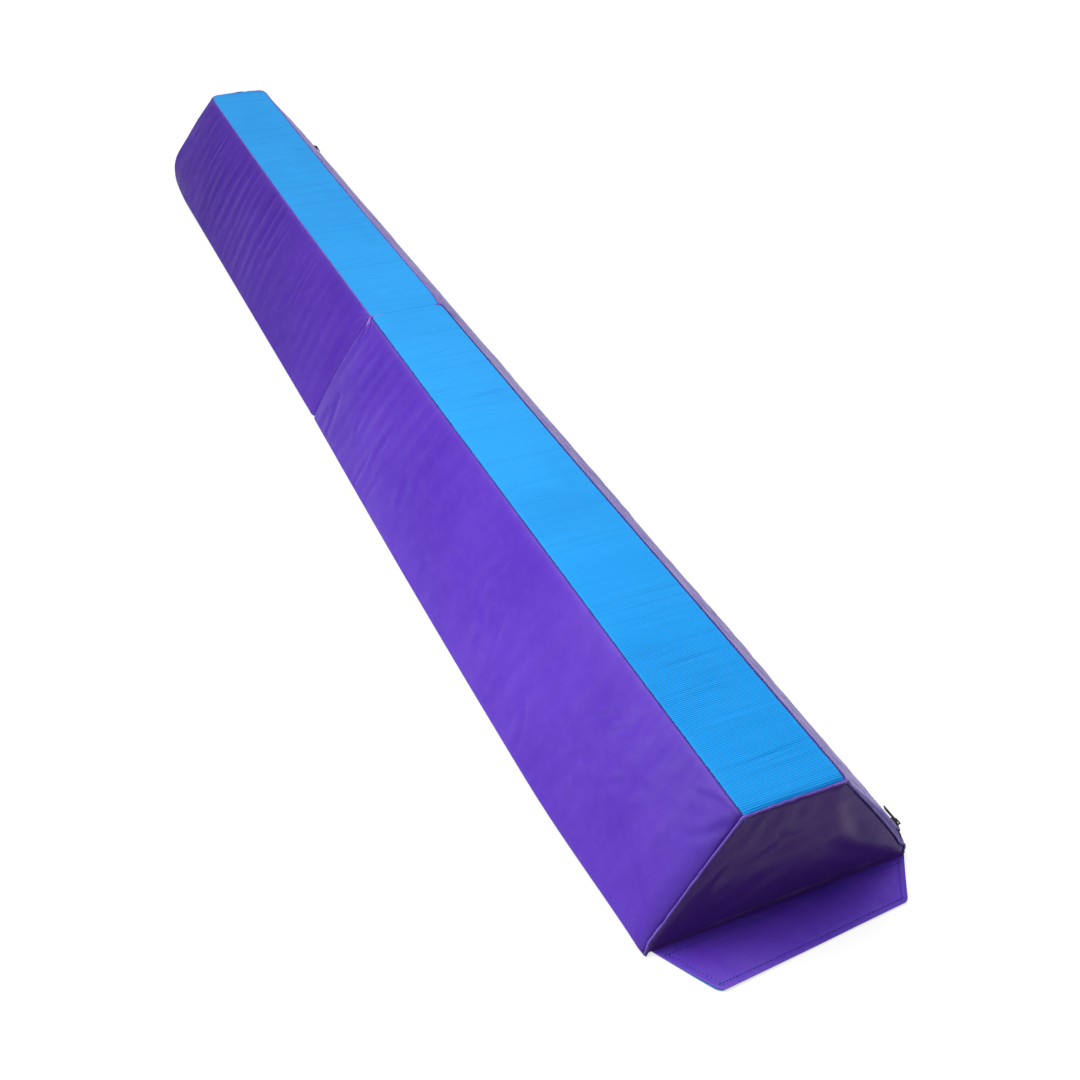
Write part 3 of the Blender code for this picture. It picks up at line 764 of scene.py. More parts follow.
# ------------------------------------------------------------- cover panels
def top_field(tag, x, y):
    """Height of the ribbed cloth over its level: ribs, wrinkles across, puckers."""
    half = HALVES[tag]
    seed = half["seed"]
    strength = 2.2 if tag == "near" else 3.6
    warp = 0.0012 * lattice_noise(x, y, 0.05, 0.12, seed + 1)
    ribs = RIB_HEIGHT * np.cos(2 * math.pi * (y + warp) / RIB_PITCH)
    rng = np.random.default_rng(seed + 2)
    lines = []
    count = 44 if tag == "near" else 64
    for _ in range(count):
        yc = rng.uniform(min(half["outer"], half["inner"]), max(half["outer"], half["inner"]))
        xc = rng.uniform(-0.035, 0.035)
        reach = rng.uniform(0.022, 0.060)
        lean = rng.uniform(-0.002, 0.007)
        width = rng.uniform(0.0022, 0.0048)
        lines.append((xc - reach, yc - lean, xc + reach, yc + lean, width,
                      strength * rng.uniform(0.00010, 0.00030), rng.uniform(-0.002, 0.002)))
    for _ in range(12 if tag == "near" else 22):
        yc = rng.uniform(min(half["outer"], half["inner"]) + 0.04,
                         max(half["outer"], half["inner"]) - 0.04)
        side = rng.choice([-1, 1])
        lean = rng.uniform(-0.003, 0.010)
        lines.append((side * 0.062, yc - lean, side * rng.uniform(-0.035, 0.015), yc + lean,
                      rng.uniform(0.0055, 0.0095), (0.55 if tag == "near" else 1.0)
                      * rng.uniform(0.0006, 0.0012), rng.uniform(-0.004, 0.004)))
    folds = creases(x, y, lines)
    folds += strength * 0.00007 * lattice_noise(x, y, 0.16, 0.010, seed + 3)
    folds += 0.00012 * lattice_noise(x, y, 0.08, 0.110, seed + 4)
    edge = TOP_W / 2 - np.abs(x)
    pucker = 0.00013 * lattice_noise(x, y, 0.2, 0.0048, seed + 5) * np.exp(-edge / 0.008)
    return ribs, folds + pucker - (0.00020 if tag == "near" else 0.00040)


def build_top(tag):
    half = HALVES[tag]
    lo, hi = sorted((half["outer"] - half["out"] * 0.0030, half["inner"]))
    ys = steps(lo, hi, 0.00075, (0.0, 0.00008, 0.0003, 0.0007, 0.0013, 0.0020))
    xw = TOP_W / 2 - 0.0008
    xs = steps(-xw, xw, 0.0048)
    x, y = np.meshgrid(xs, ys, indexing="ij")
    ribs, folds = top_field(tag, x, y)
    side_gap = xw - np.abs(x)
    end_gap = np.abs(y - (half["outer"] - half["out"] * 0.0030))
    fold_gap = np.abs(y - half["inner"])
    fade = smooth(0, 0.0025, side_gap) * smooth(0, 0.003, end_gap) * smooth(0, 0.0025, fold_gap)
    z = TOP_LEVEL + ribs * fade + folds
    # the cloth is drawn down a little where the seams cross at the corners
    z -= 0.0009 * np.exp(-np.hypot(side_gap, fold_gap) / 0.006)
    z -= 0.0011 * np.exp(-np.hypot(side_gap, end_gap) / 0.008)
    z = np.minimum(z, TOP_LIMIT - 0.00003)
    z = z - roll(side_gap, 0.0014) - roll(end_gap, 0.0052 if tag == "near" else 0.004) \
        - roll(fold_gap, 0.0019) * 0.75
    y = y - half["out"] * 0.00100 * np.exp(-fold_gap / 0.004)
    if tag == "near":
        y = y - 0.0028 * np.exp(-(x + xw) / 0.013) * np.exp(-end_gap / 0.008)
        # its corners at the fold are cut away, and show the purple cloth below
        cut = 0.0052 * np.exp(-(x + xw) / 0.0085) + 0.0085 * np.exp(-((xw - x) / 0.0075) ** 1.5)
    else:
        cut = 0.0
    y = y + half["out"] * cut * np.exp(-fold_gap / 0.016)
    x = x - np.sign(x) * 0.0006 * np.exp(-side_gap / 0.004) * (
        0.5 + 0.5 * lattice_noise(x * 0, y, 1.0, 0.0055, half["seed"] + 8))
    outer = np.stack([x, y, z], -1)
    inner = outer - np.array([0, 0, PANEL_T])
    # lighter along the side seams and at the fold: partly rubbing, partly a painted highlight on the
    # fold line's edges
    wear_and_highlight = 0.9 * np.exp(-side_gap / 0.0016) + 0.9 * np.exp(-fold_gap / 0.0022)
    obj = shell(f"{tag}_ribbed_top", settle(outer, tag), settle(inner, tag),
                attributes={"wear_and_highlight": np.clip(wear_and_highlight, 0, 1)})
    piece(obj, half["body"], "blue", [f"{tag}_top_cover"])
    return obj


def side_lines(tag, side):
    """The creases of a side panel, as (y, down-slope distance) lines."""
    half = HALVES[tag]
    rng = np.random.default_rng(half["seed"] * 7 + (3 if side > 0 else 5))
    lo, hi = sorted((half["outer"], half["inner"]))
    lines = []
    if tag == "far" and side < 0:
        # close diagonal wrinkles hanging from the top seam towards the far end
        for k in range(24):
            y0 = rng.uniform(0.20, hi - 0.12)
            reach = rng.uniform(0.05, 0.13)
            lines.append((y0, rng.uniform(0.000, 0.006), y0 + reach * rng.uniform(-0.15, 0.12),
                          reach, rng.uniform(0.005, 0.010),
                          rng.uniform(0.0004, 0.0011), rng.uniform(-0.004, 0.004)))
        for k in range(14):
            y0 = rng.uniform(lo + 0.02, hi - 0.1)
            t0 = rng.uniform(0.05, 0.15)
            lines.append((y0, t0, y0 + rng.uniform(0.03, 0.09), t0 + rng.uniform(0.02, 0.06),
                          rng.uniform(0.005, 0.010), rng.uniform(0.0003, 0.0008),
                          rng.uniform(-0.006, 0.006)))
    else:
        for k in range(26 if side < 0 else 30):
            y0 = rng.uniform(lo + 0.01, hi - 0.05)
            t0 = rng.uniform(0.0, 0.15)
            lines.append((y0, t0, y0 + rng.uniform(-0.06, 0.10), t0 + rng.uniform(0.02, 0.10),
                          rng.uniform(0.005, 0.012), (1.9 if side < 0 else 1.0)
                          * rng.uniform(0.0002, 0.00065), rng.uniform(-0.008, 0.008)))
    # folds drawn from the knot at the top of the fold line
    away = half["out"]
    for reach_y, reach_t, depth in ((0.050, 0.012, 0.0009), (0.040, 0.034, 0.0011),
                                    (0.020, 0.050, 0.0009), (0.075, 0.045, 0.0006)):
        lines.append((Y_FOLD + away * 0.003, 0.001, Y_FOLD + away * reach_y, reach_t,
                      0.0032, depth, 0.002 * away))
    if tag == "near":
        lines += [(Y_NEAR + 0.002, 0.004, Y_NEAR + 0.075, 0.035, 0.0045, 0.0008, 0.004),
                  (Y_NEAR + 0.004, 0.010, Y_NEAR + 0.045, 0.075, 0.0060, 0.0009, -0.004),
                  (Y_NEAR + 0.004, 0.190, Y_NEAR + 0.110, 0.130, 0.0070, 0.0008, 0.006)]
    return lines


def side_field(tag, side, y, t):
    half = HALVES[tag]
    seed = half["seed"] + (100 if side > 0 else 200)
    field = creases(y, t, side_lines(tag, side))
    lo, hi = sorted((half["outer"], half["inner"]))
    patchy = np.clip(0.70 + 0.75 * lattice_noise(y, t, 0.15, 0.16, seed + 9), 0.15, 1.25)
    if side < 0:
        # drawn from the top seam, and dying out lower down
        patchy = patchy * (1.0 - 0.60 * smooth(0.07, 0.19, t))
    if tag == "far":
        patchy = patchy * (1.0 - 0.75 * smooth(0.80, 1.08, y))
    field += draped(tag, side, t / SLOPE_LEN, (y - lo) / (hi - lo)) * patchy
    field += 0.0010 * lattice_noise(y, t, 0.16, 0.09, seed)
    field += 0.0004 * lattice_noise(y + 0.2 * t, t, 0.055, 0.080, seed + 1)
    field += 0.00020 * lattice_noise(y + 0.2 * t, t, 0.020, 0.040, seed + 2)
    top_pucker = 0.00030 * lattice_noise(y, t, 0.0065, 0.3, seed + 3) * np.exp(-t / 0.007)
    foot = SLOPE_LEN - t
    foot_pucker = 0.00035 * lattice_noise(y, t, 0.0085, 0.3, seed + 4) * np.exp(-foot / 0.010)
    gathers = 0.0008 * lattice_noise(y, t, 0.016, 0.3, seed + 6) * np.exp(-t / 0.022) * (
        0.6 + 0.4 * lattice_noise(y, t, 0.10, 1.0, seed + 7))
    return field + top_pucker + foot_pucker + gathers * (0.8 if tag == "far" else 0.35)


def build_side(tag, side):
    half = HALVES[tag]
    name = "right" if side > 0 else "left"
    lo, hi = sorted((half["outer"] - half["out"] * 0.0030, half["inner"]))
    t0, t1 = 0.0011, SLOPE_LEN * 0.9850
    if side > 0:
        zt = ZIP_S * SLOPE_LEN
        edge = (0.0, 0.00012, 0.0004, 0.0009, 0.0016, 0.0025)
        upper = steps(t0, zt - 0.006, 0.0036, edge)
        lower = steps(zt + 0.006, t1, 0.0036, edge)
        ts = np.concatenate([upper, lower])
        z0, z1 = half["zip"][0] - 0.004, half["zip"][1] + 0.004
        ys = np.concatenate([steps(lo, z0, 0.0022)[:-1], steps(z0, z1, 0.0022),
                             steps(z1, hi, 0.0022)[1:]])
    else:
        ts = steps(t0, t1, 0.0036)
        ys = steps(lo, hi, 0.0021)
    y, t = np.meshgrid(ys, ts, indexing="ij")
    s = t / SLOPE_LEN
    field = side_field(tag, side, y, t)
    end_gap = np.abs(y - (half["outer"] - half["out"] * 0.0030))
    fold_gap = np.abs(y - half["inner"])
    top_gap, foot_gap = t - t0, t1 - t
    # wrinkles die out in the seams
    field = field * smooth(0, 0.006, end_gap) * smooth(-0.001, 0.004, top_gap) \
        * smooth(0, 0.006, foot_gap) * (0.25 + 0.75 * smooth(0, 0.008, fold_gap))
    field = 0.0024 * np.tanh(field / 0.0024)
    mask = None
    if side > 0:
        z0, z1 = half["zip"][0] - 0.004, half["zip"][1] + 0.004
        across = np.abs(t - ZIP_S * SLOPE_LEN)
        beside = np.maximum(np.maximum(z0 - y, y - z1), 0)
        reach = np.hypot(np.maximum(across - 0.006, 0), beside)
        field = field * smooth(0.003, 0.022, reach) - 0.0001
        field = field - roll(reach, 0.0010) * 0.55
        cells_y = (ys[:-1] > z0 - 1e-6) & (ys[1:] < z1 + 1e-6)
        cells_t = (ts[:-1] > ZIP_S * SLOPE_LEN - 0.0061) & (ts[1:] < ZIP_S * SLOPE_LEN + 0.0061)
        mask = ~(cells_y[:, None] & cells_t[None, :])
    border = np.minimum(roll(top_gap, 0.0013) + roll(foot_gap, 0.0020) + roll(end_gap, 0.0026)
                        + roll(fold_gap, 0.0012), 0.0027)
    dip = np.zeros_like(field)
    if tag == "near" and side < 0:
        # a valley beside the end's ridge, where the cover is pulled tight
        dip = np.exp(-end_gap / 0.0085) * smooth(0.004, 0.030, foot_gap) * smooth(0, 0.01, top_gap)
        border = border + 0.0016 * dip
    thick = PANEL_T * np.ones_like(field)
    if side > 0:
        thick = thick * (0.62 + 0.38 * smooth(0.0, 0.006, reach))
    outer = side_surface(s, y, side, field - border)
    inner = side_surface(s, y, side, field - border - thick)
    # lighter along the seams, partly rubbing and partly painted highlight, and lighter on the wrinkle
    # ridges: a painted highlight
    wear_and_highlight = 0.75 * np.exp(-top_gap / 0.0045) + 0.55 * np.exp(-fold_gap / 0.0022) \
        + 0.45 * np.exp(-end_gap / 0.0030) + 0.25 * np.exp(-foot_gap / 0.004) \
        + np.clip(field / 0.0016, 0, 1) * (0.22 if tag == "near" else 0.12)
    # painted shade: darker in the valley beside the near end's ridge, which is also left less
    # lightened
    shade = 0.80 * np.exp(-end_gap / 0.011) if tag == "near" and side < 0 else 0.0 * field
    obj = shell(f"{tag}_{name}_panel", settle(outer, tag), settle(inner, tag), mask,
                {"wear_and_highlight": np.clip(wear_and_highlight - 0.6 * dip, 0, 1), "shade": np.clip(shade, 0, 1)})
    piece(obj, half["body"], f"{tag}_left_vinyl" if side < 0 else "vinyl",
          [f"{tag}_{name}_cover"])
    return obj


def section_grid(s, a, depth, y):
    """Points across the section: s from the top down, a from -1 left to 1 right."""
    def edge(side):
        bulge = bulge_at(s, y, side) - depth
        return (side * (TOP_W / 2 + SLOPE_X * s + SIDE_NX * bulge),
                HEIGHT * (1 - s) + SIDE_NZ * bulge)
    xl, zl = edge(-1)
    xr, zr = edge(1)
    k = (a + 1) / 2
    return xl + (xr - xl) * k, zl + (zr - zl) * k


def build_end(tag):
    half = HALVES[tag]
    out = half["out"]
    a = np.sin(np.linspace(-1, 1, 97) * math.pi / 2 * 0.93) / math.sin(math.pi / 2 * 0.93)
    s0, s1 = 0.0085, 0.9900
    s = (s0 + s1) / 2 - (s1 - s0) / 2 * np.cos(np.linspace(0.0, math.pi, 75))
    s, a = np.meshgrid(s, a, indexing="ij")
    x, z = section_grid(s, a, 0.0030, half["outer"])
    width = (TOP_W / 2 + SLOPE_X * s)
    side_gap = (1 - np.abs(a)) * width * SIDE_NX
    top_gap, foot_gap = (s - s0) * HEIGHT, (s1 - s) * HEIGHT
    height = z / HEIGHT
    rise = np.sin(np.clip(height, 0, 1) ** 0.75 * math.pi) ** 0.9
    bulge = 0.0052 * rise * (1 - np.abs(a) ** 2.4)
    if tag == "near":
        bulge = np.minimum(bulge, 0.0004 + 0.085 * z)
        lines = [(-0.150, 0.012, 0.010, 0.082, 0.010, 0.0011, 0.008),
                 (-0.085, 0.085, 0.060, 0.120, 0.012, 0.0012, -0.006),
                 (-0.040, 0.160, 0.030, 0.095, 0.008, 0.0008, 0.004),
                 (0.165, 0.010, 0.050, 0.090, 0.009, 0.0011, -0.008),
                 (0.055, 0.165, 0.120, 0.060, 0.008, 0.0010, 0.006),
                 (-0.120, 0.020, -0.055, 0.150, 0.007, 0.0008, -0.003)]
    else:
        lines = [(-0.150, 0.015, -0.020, 0.090, 0.010, 0.0012, 0.008),
                 (0.150, 0.012, 0.030, 0.110, 0.010, 0.0011, -0.006),
                 (-0.050, 0.155, 0.060, 0.080, 0.009, 0.0010, 0.005),
                 (-0.090, 0.020, 0.080, 0.045, 0.012, 0.0010, 0.004)]
    field = creases(x, z, lines)
    field += (0.45 if tag == "near" else 0.8) * draped(tag, 0, s, (a + 1) / 2)
    field += 0.0006 * lattice_noise(x, z, 0.055, 0.045, half["seed"] + 301)
    field += 0.00022 * lattice_noise(x, z, 0.020, 0.016, half["seed"] + 302)
    seam = np.minimum(side_gap, top_gap)
    field += 0.0003 * lattice_noise(x + z, z, 0.007, 0.009, half["seed"] + 303) \
        * np.exp(-seam / 0.007)
    fade = smooth(0, 0.006, side_gap) * smooth(0, 0.005, top_gap) * smooth(0, 0.012, foot_gap)
    height_out = (bulge + field) * fade
    if tag == "near":
        height_out = np.minimum(height_out, 0.0006 + 0.092 * z)
    depth = roll(side_gap, 0.0030) + roll(top_gap, 0.0028) + roll(foot_gap, 0.0008)
    y = half["outer"] - out * 0.0004 + out * (height_out - depth)
    outer = np.stack([x, y, z], -1)
    inner = np.stack([x, y - out * PANEL_T, z], -1)
    wear_and_highlight = 0.55 * np.exp(-side_gap / 0.004) + 0.5 * np.exp(-top_gap / 0.003)
    obj = shell(f"{tag}_end_panel", settle(outer, tag), settle(inner, tag),
                attributes={"wear_and_highlight": np.clip(wear_and_highlight, 0, 1)})
    # the end panel is made in the darker, greyer copy of the purple vinyl: painted shade and painted
    # reflection
    piece(obj, half["body"], "end_vinyl", [f"{tag}_end_cover"])
    return obj


def build_inner_end(tag):
    half = HALVES[tag]
    out = half["out"]
    a = np.sin(np.linspace(-1, 1, 81) * math.pi / 2 * 0.93) / math.sin(math.pi / 2 * 0.93)
    s0, s1 = 0.0060, 0.9800
    s = (s0 + s1) / 2 - (s1 - s0) / 2 * np.cos(np.linspace(0.0, math.pi, 61))
    s, a = np.meshgrid(s, a, indexing="ij")
    x, z = section_grid(s, a, 0.0022, half["inner"])
    width = (TOP_W / 2 + SLOPE_X * s)
    side_gap = (1 - np.abs(a)) * width * SIDE_NX
    top_gap, foot_gap = (s - s0) * HEIGHT, (s1 - s) * HEIGHT
    seed = half["seed"] + 400
    field = creases(x, z, [(-0.13, 0.02, -0.02, 0.12, 0.010, 0.0007, 0.006),
                           (0.13, 0.02, 0.03, 0.10, 0.010, 0.0007, -0.006),
                           (-0.05, 0.15, 0.02, 0.07, 0.008, 0.0006, 0.003)])
    field += 0.0006 * lattice_noise(x, z, 0.06, 0.05, seed) \
        + 0.0002 * lattice_noise(x, z, 0.02, 0.02, seed + 1)
    sink = 0.0009 + 0.0007 * (1 - np.abs(a) ** 2) - field
    sink = np.maximum(sink * smooth(0, 0.010, np.minimum(side_gap, top_gap)), 0.0001)
    depth = roll(side_gap, 0.0022) + roll(top_gap, 0.0018) + roll(foot_gap, 0.0016)
    y = half["inner"] + out * (sink + depth)
    outer = np.stack([x, y, z], -1)
    inner = np.stack([x, y + out * PANEL_T, z], -1)
    wear_and_highlight = 0.4 * np.exp(-side_gap / 0.004) + 0.4 * np.exp(-top_gap / 0.003)
    obj = shell(f"{tag}_fold_panel", settle(outer, tag), settle(inner, tag),
                attributes={"wear_and_highlight": np.clip(wear_and_highlight, 0, 1)})
    piece(obj, half["body"], "vinyl", [f"{tag}_inner_end_cover"])
    return obj


BASE_HALF = 0.1762


def build_base(tag):
    half = HALVES[tag]
    lo, hi = sorted((half["outer"] - half["out"] * 0.0030, half["inner"]))
    xs, ys = steps(-BASE_HALF, BASE_HALF, 0.0060), steps(lo, hi, 0.0070)
    x, y = np.meshgrid(xs, ys, indexing="ij")
    seed = half["seed"] + 500
    edge = np.minimum(BASE_HALF - np.abs(x), np.minimum(y - lo, hi - y))
    lift = roll(edge, 0.0006) + 0.00035 * np.clip(
        lattice_noise(x, y, 0.05, 0.09, seed) + 0.6 * lattice_noise(x, y, 0.02, 0.03, seed + 1),
        0, 1) * smooth(0.004, 0.03, edge)
    outer = np.stack([x, y, lift], -1)
    inner = np.stack([x, y, lift + 0.0009], -1)
    # it shows a little under the near bottom left corner
    poke = smooth(Y_NEAR + 0.03, Y_NEAR, y) * np.clip(-x / BASE_HALF, 0, 1) ** 8
    for grid in (outer, inner):
        grid[..., 0] -= 0.0004 * poke
        grid[..., 1] -= 0.0030 * poke
    obj = shell(f"{tag}_base_cloth", settle(outer, tag), settle(inner, tag))
    piece(obj, half["body"], "base", [f"{tag}_base_cover"])
    return obj


def build_foam(tag):
    half = HALVES[tag]
    out = half["out"]
    lo, hi = sorted((half["outer"] - out * 0.0075, half["inner"] + out * 0.0070))
    ys = steps(lo, hi, 0.012, (0.0, 0.0003, 0.0010, 0.0022, 0.0040, 0.0060))
    ring = []
    s = np.linspace(0.045, 0.955, 28)
    for side, order in ((1, 1), (-1, -1)):
        bulge = CROWN[side] * 0.55 * fullness(s, side) - 0.0060
        px = side * (TOP_W / 2 + SLOPE_X * s + SIDE_NX * bulge)
        pz = HEIGHT * (1 - s) + SIDE_NZ * bulge
        ring.append(np.stack([px, pz], -1)[::order])
    ring = np.concatenate(ring)
    ring[:, 1] = np.clip(ring[:, 1], 0.0030, HEIGHT - 0.0040)
    count = len(ring)
    centre = np.array([0.0, 0.085])
    gap = np.minimum(ys - lo, hi - ys)
    shrink = roll(gap, 0.006)
    dirs = ring - centre
    dirs = dirs / np.linalg.norm(dirs, axis=1)[:, None]
    xz = ring[None] - dirs[None] * shrink[:, None, None]
    ripple = 0.0003 * lattice_noise(np.arange(count)[None] * 0.01 + 0 * ys[:, None],
                                    ys[:, None] + np.zeros((1, count)), 0.03, 0.05,
                                    half["seed"] + 600)
    xz = xz - dirs[None] * np.abs(ripple)[..., None]
    verts = np.stack([xz[..., 0], np.broadcast_to(ys[:, None], xz.shape[:2]), xz[..., 1]], -1)
    caps = np.array([[0, ys[0], 0.085], [0, ys[-1], 0.085]])
    n = len(ys)
    i = np.arange(n - 1)[:, None] * count
    k = np.arange(count)[None]
    k2 = (k + 1) % count
    quads = np.stack([i + k, i + k2, i + count + k2, i + count + k], -1).reshape(-1, 4)
    k, k2 = k[0], k2[0]
    tris = np.concatenate([np.stack([np.full(count, n * count), k2, k], -1),
                           np.stack([np.full(count, n * count + 1), (n - 1) * count + k,
                                     (n - 1) * count + k2], -1)])
    verts = np.concatenate([verts.reshape(-1, 3), caps])
    if tag == "far":
        # cut back at the foot corners, where the cover is rounded most
        cut = smooth(Y_FAR - 0.11, Y_FAR - 0.01, verts[:, 1]) \
            * np.clip(np.abs(verts[:, 0]) / 0.17, 0, 1) ** 3 \
            * np.clip(1 - verts[:, 2] / HEIGHT, 0, 1) ** 2
        verts = verts - np.stack([0.014 * np.sign(verts[:, 0]) * cut, 0.018 * cut,
                                  -0.008 * cut], -1)
    obj = mesh_object(f"{tag}_foam_block", settle(verts, tag), quads, tris)
    piece(obj, half["body"], "foam", [f"{tag}_foam_core"])
    return obj


# ------------------------------------------------------------ seams, threads
def build_welt(tag):
    """Rolled seam round an outer end: up one slanted edge, over, and down."""
    half = HALVES[tag]
    out = half["out"]
    inset = 0.0013
    s = np.linspace(0.978, 0.012, 150)
    left = side_surface(s, half["outer"], -1, -inset)
    right = side_surface(s[::-1], half["outer"], 1, -inset)
    top_n = 70
    k = np.linspace(0, 1, top_n + 2)[1:-1]
    across = left[-1] + (right[0] - left[-1]) * k[:, None]
    across[:, 2] += 0.0010 * np.minimum(1, np.minimum(k, 1 - k) * 16)
    path = np.concatenate([left, across, right])
    seed = half["seed"] + 700
    for _ in range(2):
        path[1:-1] = (path[:-2] + 2 * path[1:-1] + path[2:]) / 4
    run = np.concatenate([[0], np.cumsum(np.linalg.norm(np.diff(path, axis=0), axis=1))])
    wave = lattice_noise(run, run * 0, 0.021, 1.0, seed) * 0.0009 \
        + lattice_noise(run, run * 0, 0.008, 1.0, seed + 1) * 0.0004
    top_part = np.zeros(len(path))
    top_part[150:150 + top_n] = 1
    forward = 0.0009 * smooth(0.015, 0.045, path[:, 2]) if tag == "near" else 0.0
    path[:, 1] = half["outer"] - out * (0.0017 - forward + np.abs(wave) * 0.6)
    path[:, 2] += wave * (0.35 + 0.9 * top_part) - 0.0004 * top_part
    thick = 0.0014 + 0.00025 * lattice_noise(run, run * 0, 0.012, 1.0, seed + 2)
    corner = np.exp(-((run - run[150]) / 0.006) ** 2) \
        + np.exp(-((run - run[150 + top_n]) / 0.006) ** 2)
    thick = thick * (1 + 0.45 * corner)
    path[:, 0] += np.sign(path[:, 0]) * 0.0006 * corner
    path[:, 2] = np.minimum(path[:, 2], TOP_LIMIT - thick - 0.0001)
    verts, quads, tris = tube_parts(settle(path, tag, 0.75), thick, 10)
    verts[:, 2] = np.clip(verts[:, 2], 0.0011, TOP_LIMIT)
    # the right side (x > 0.05) is made lighter than the rest: a painted highlight where that side
    # lies in shade
    wear_and_highlight = np.where(verts[:, 0] > 0.05, 0.85, 0.45)
    obj = mesh_object(f"{tag}_end_seam", verts, quads, tris, {"wear_and_highlight": wear_and_highlight})
    piece(obj, half["body"], "welt", [f"{tag}_end_welt"])
    return obj


def build_edge_seams(tag):
    """The cord sunk in the seam between top and sides, and its stitches."""
    half = HALVES[tag]
    lo, hi = sorted((half["outer"] - half["out"] * 0.006, half["inner"] + half["out"] * 0.0012))
    cords, threads = [], []
    seed = half["seed"] + 800
    for side in (-1, 1):
        ys = np.arange(lo, hi, 0.0035)
        sway = 0.00018 * lattice_noise(ys, ys * 0, 0.02, 1.0, seed + side)
        path = np.stack([side * (TOP_W / 2 + 0.0001 + sway), ys,
                         np.full(len(ys), HEIGHT - 0.00120) + sway], -1)
        cords.append(tube_parts(settle(path, tag), 0.00070, 8))
        ys = np.arange(lo + 0.003, hi - 0.003, 0.0052)
        centres = np.stack([side * (TOP_W / 2 + 0.0003 + 0 * ys), ys,
                            np.full(len(ys), HEIGHT - 0.00062)], -1)
        ahead = settle(centres + np.array([0, 0.001, 0]), tag)
        centres = settle(centres, tag)
        up = np.tile([side * 0.5, 0, 0.86], (len(ys), 1))
        threads.append(stitch_parts(centres, ahead - centres, up, 0.0042, 0.00032))
    cord = mesh_object(f"{tag}_top_seam_cord", *gather(cords))
    piece(cord, half["body"], "dark_thread" if tag == "near" else "lilac_thread")
    sewn = mesh_object(f"{tag}_top_stitches", *gather(threads))
    piece(sewn, half["body"], "dark_thread" if tag == "near" else "lilac_thread")


# ---------------------------------------------------------------------- zips
def zip_axes():
    def at(s):
        bulge = CROWN[1] * float(fullness(s, 1))
        return np.array([TOP_W / 2 + SLOPE_X * s + SIDE_NX * bulge,
                         HEIGHT * (1 - s) + SIDE_NZ * bulge])
    a, b = at(ZIP_S - 0.01), at(ZIP_S + 0.01)
    d = (b - a) / np.linalg.norm(b - a)
    place = at(ZIP_S)
    return (np.array([place[0], 0, place[1]]), np.array([d[0], 0, d[1]]),
            np.array([-d[1], 0, d[0]]))


ZIP_AT, ZIP_DOWN, ZIP_OUT = zip_axes()
ALONG = np.array([0.0, 1.0, 0.0])


def zip_point(t, y, n):
    t, y, n = np.broadcast_arrays(np.asarray(t, float), np.asarray(y, float),
                                  np.asarray(n, float))
    return (ZIP_AT + t[..., None] * ZIP_DOWN + y[..., None] * ALONG + n[..., None] * ZIP_OUT)


def under_panel(t, y, out):
    """Places that follow the right panel beside the zip, t down the slope."""
    s = ZIP_S + t / SLOPE_LEN
    bulge = CROWN[1] * fullness(s, 1) + out
    return np.stack([TOP_W / 2 + SLOPE_X * s + SIDE_NX * bulge, y,
                     HEIGHT * (1 - s) + SIDE_NZ * bulge], -1)


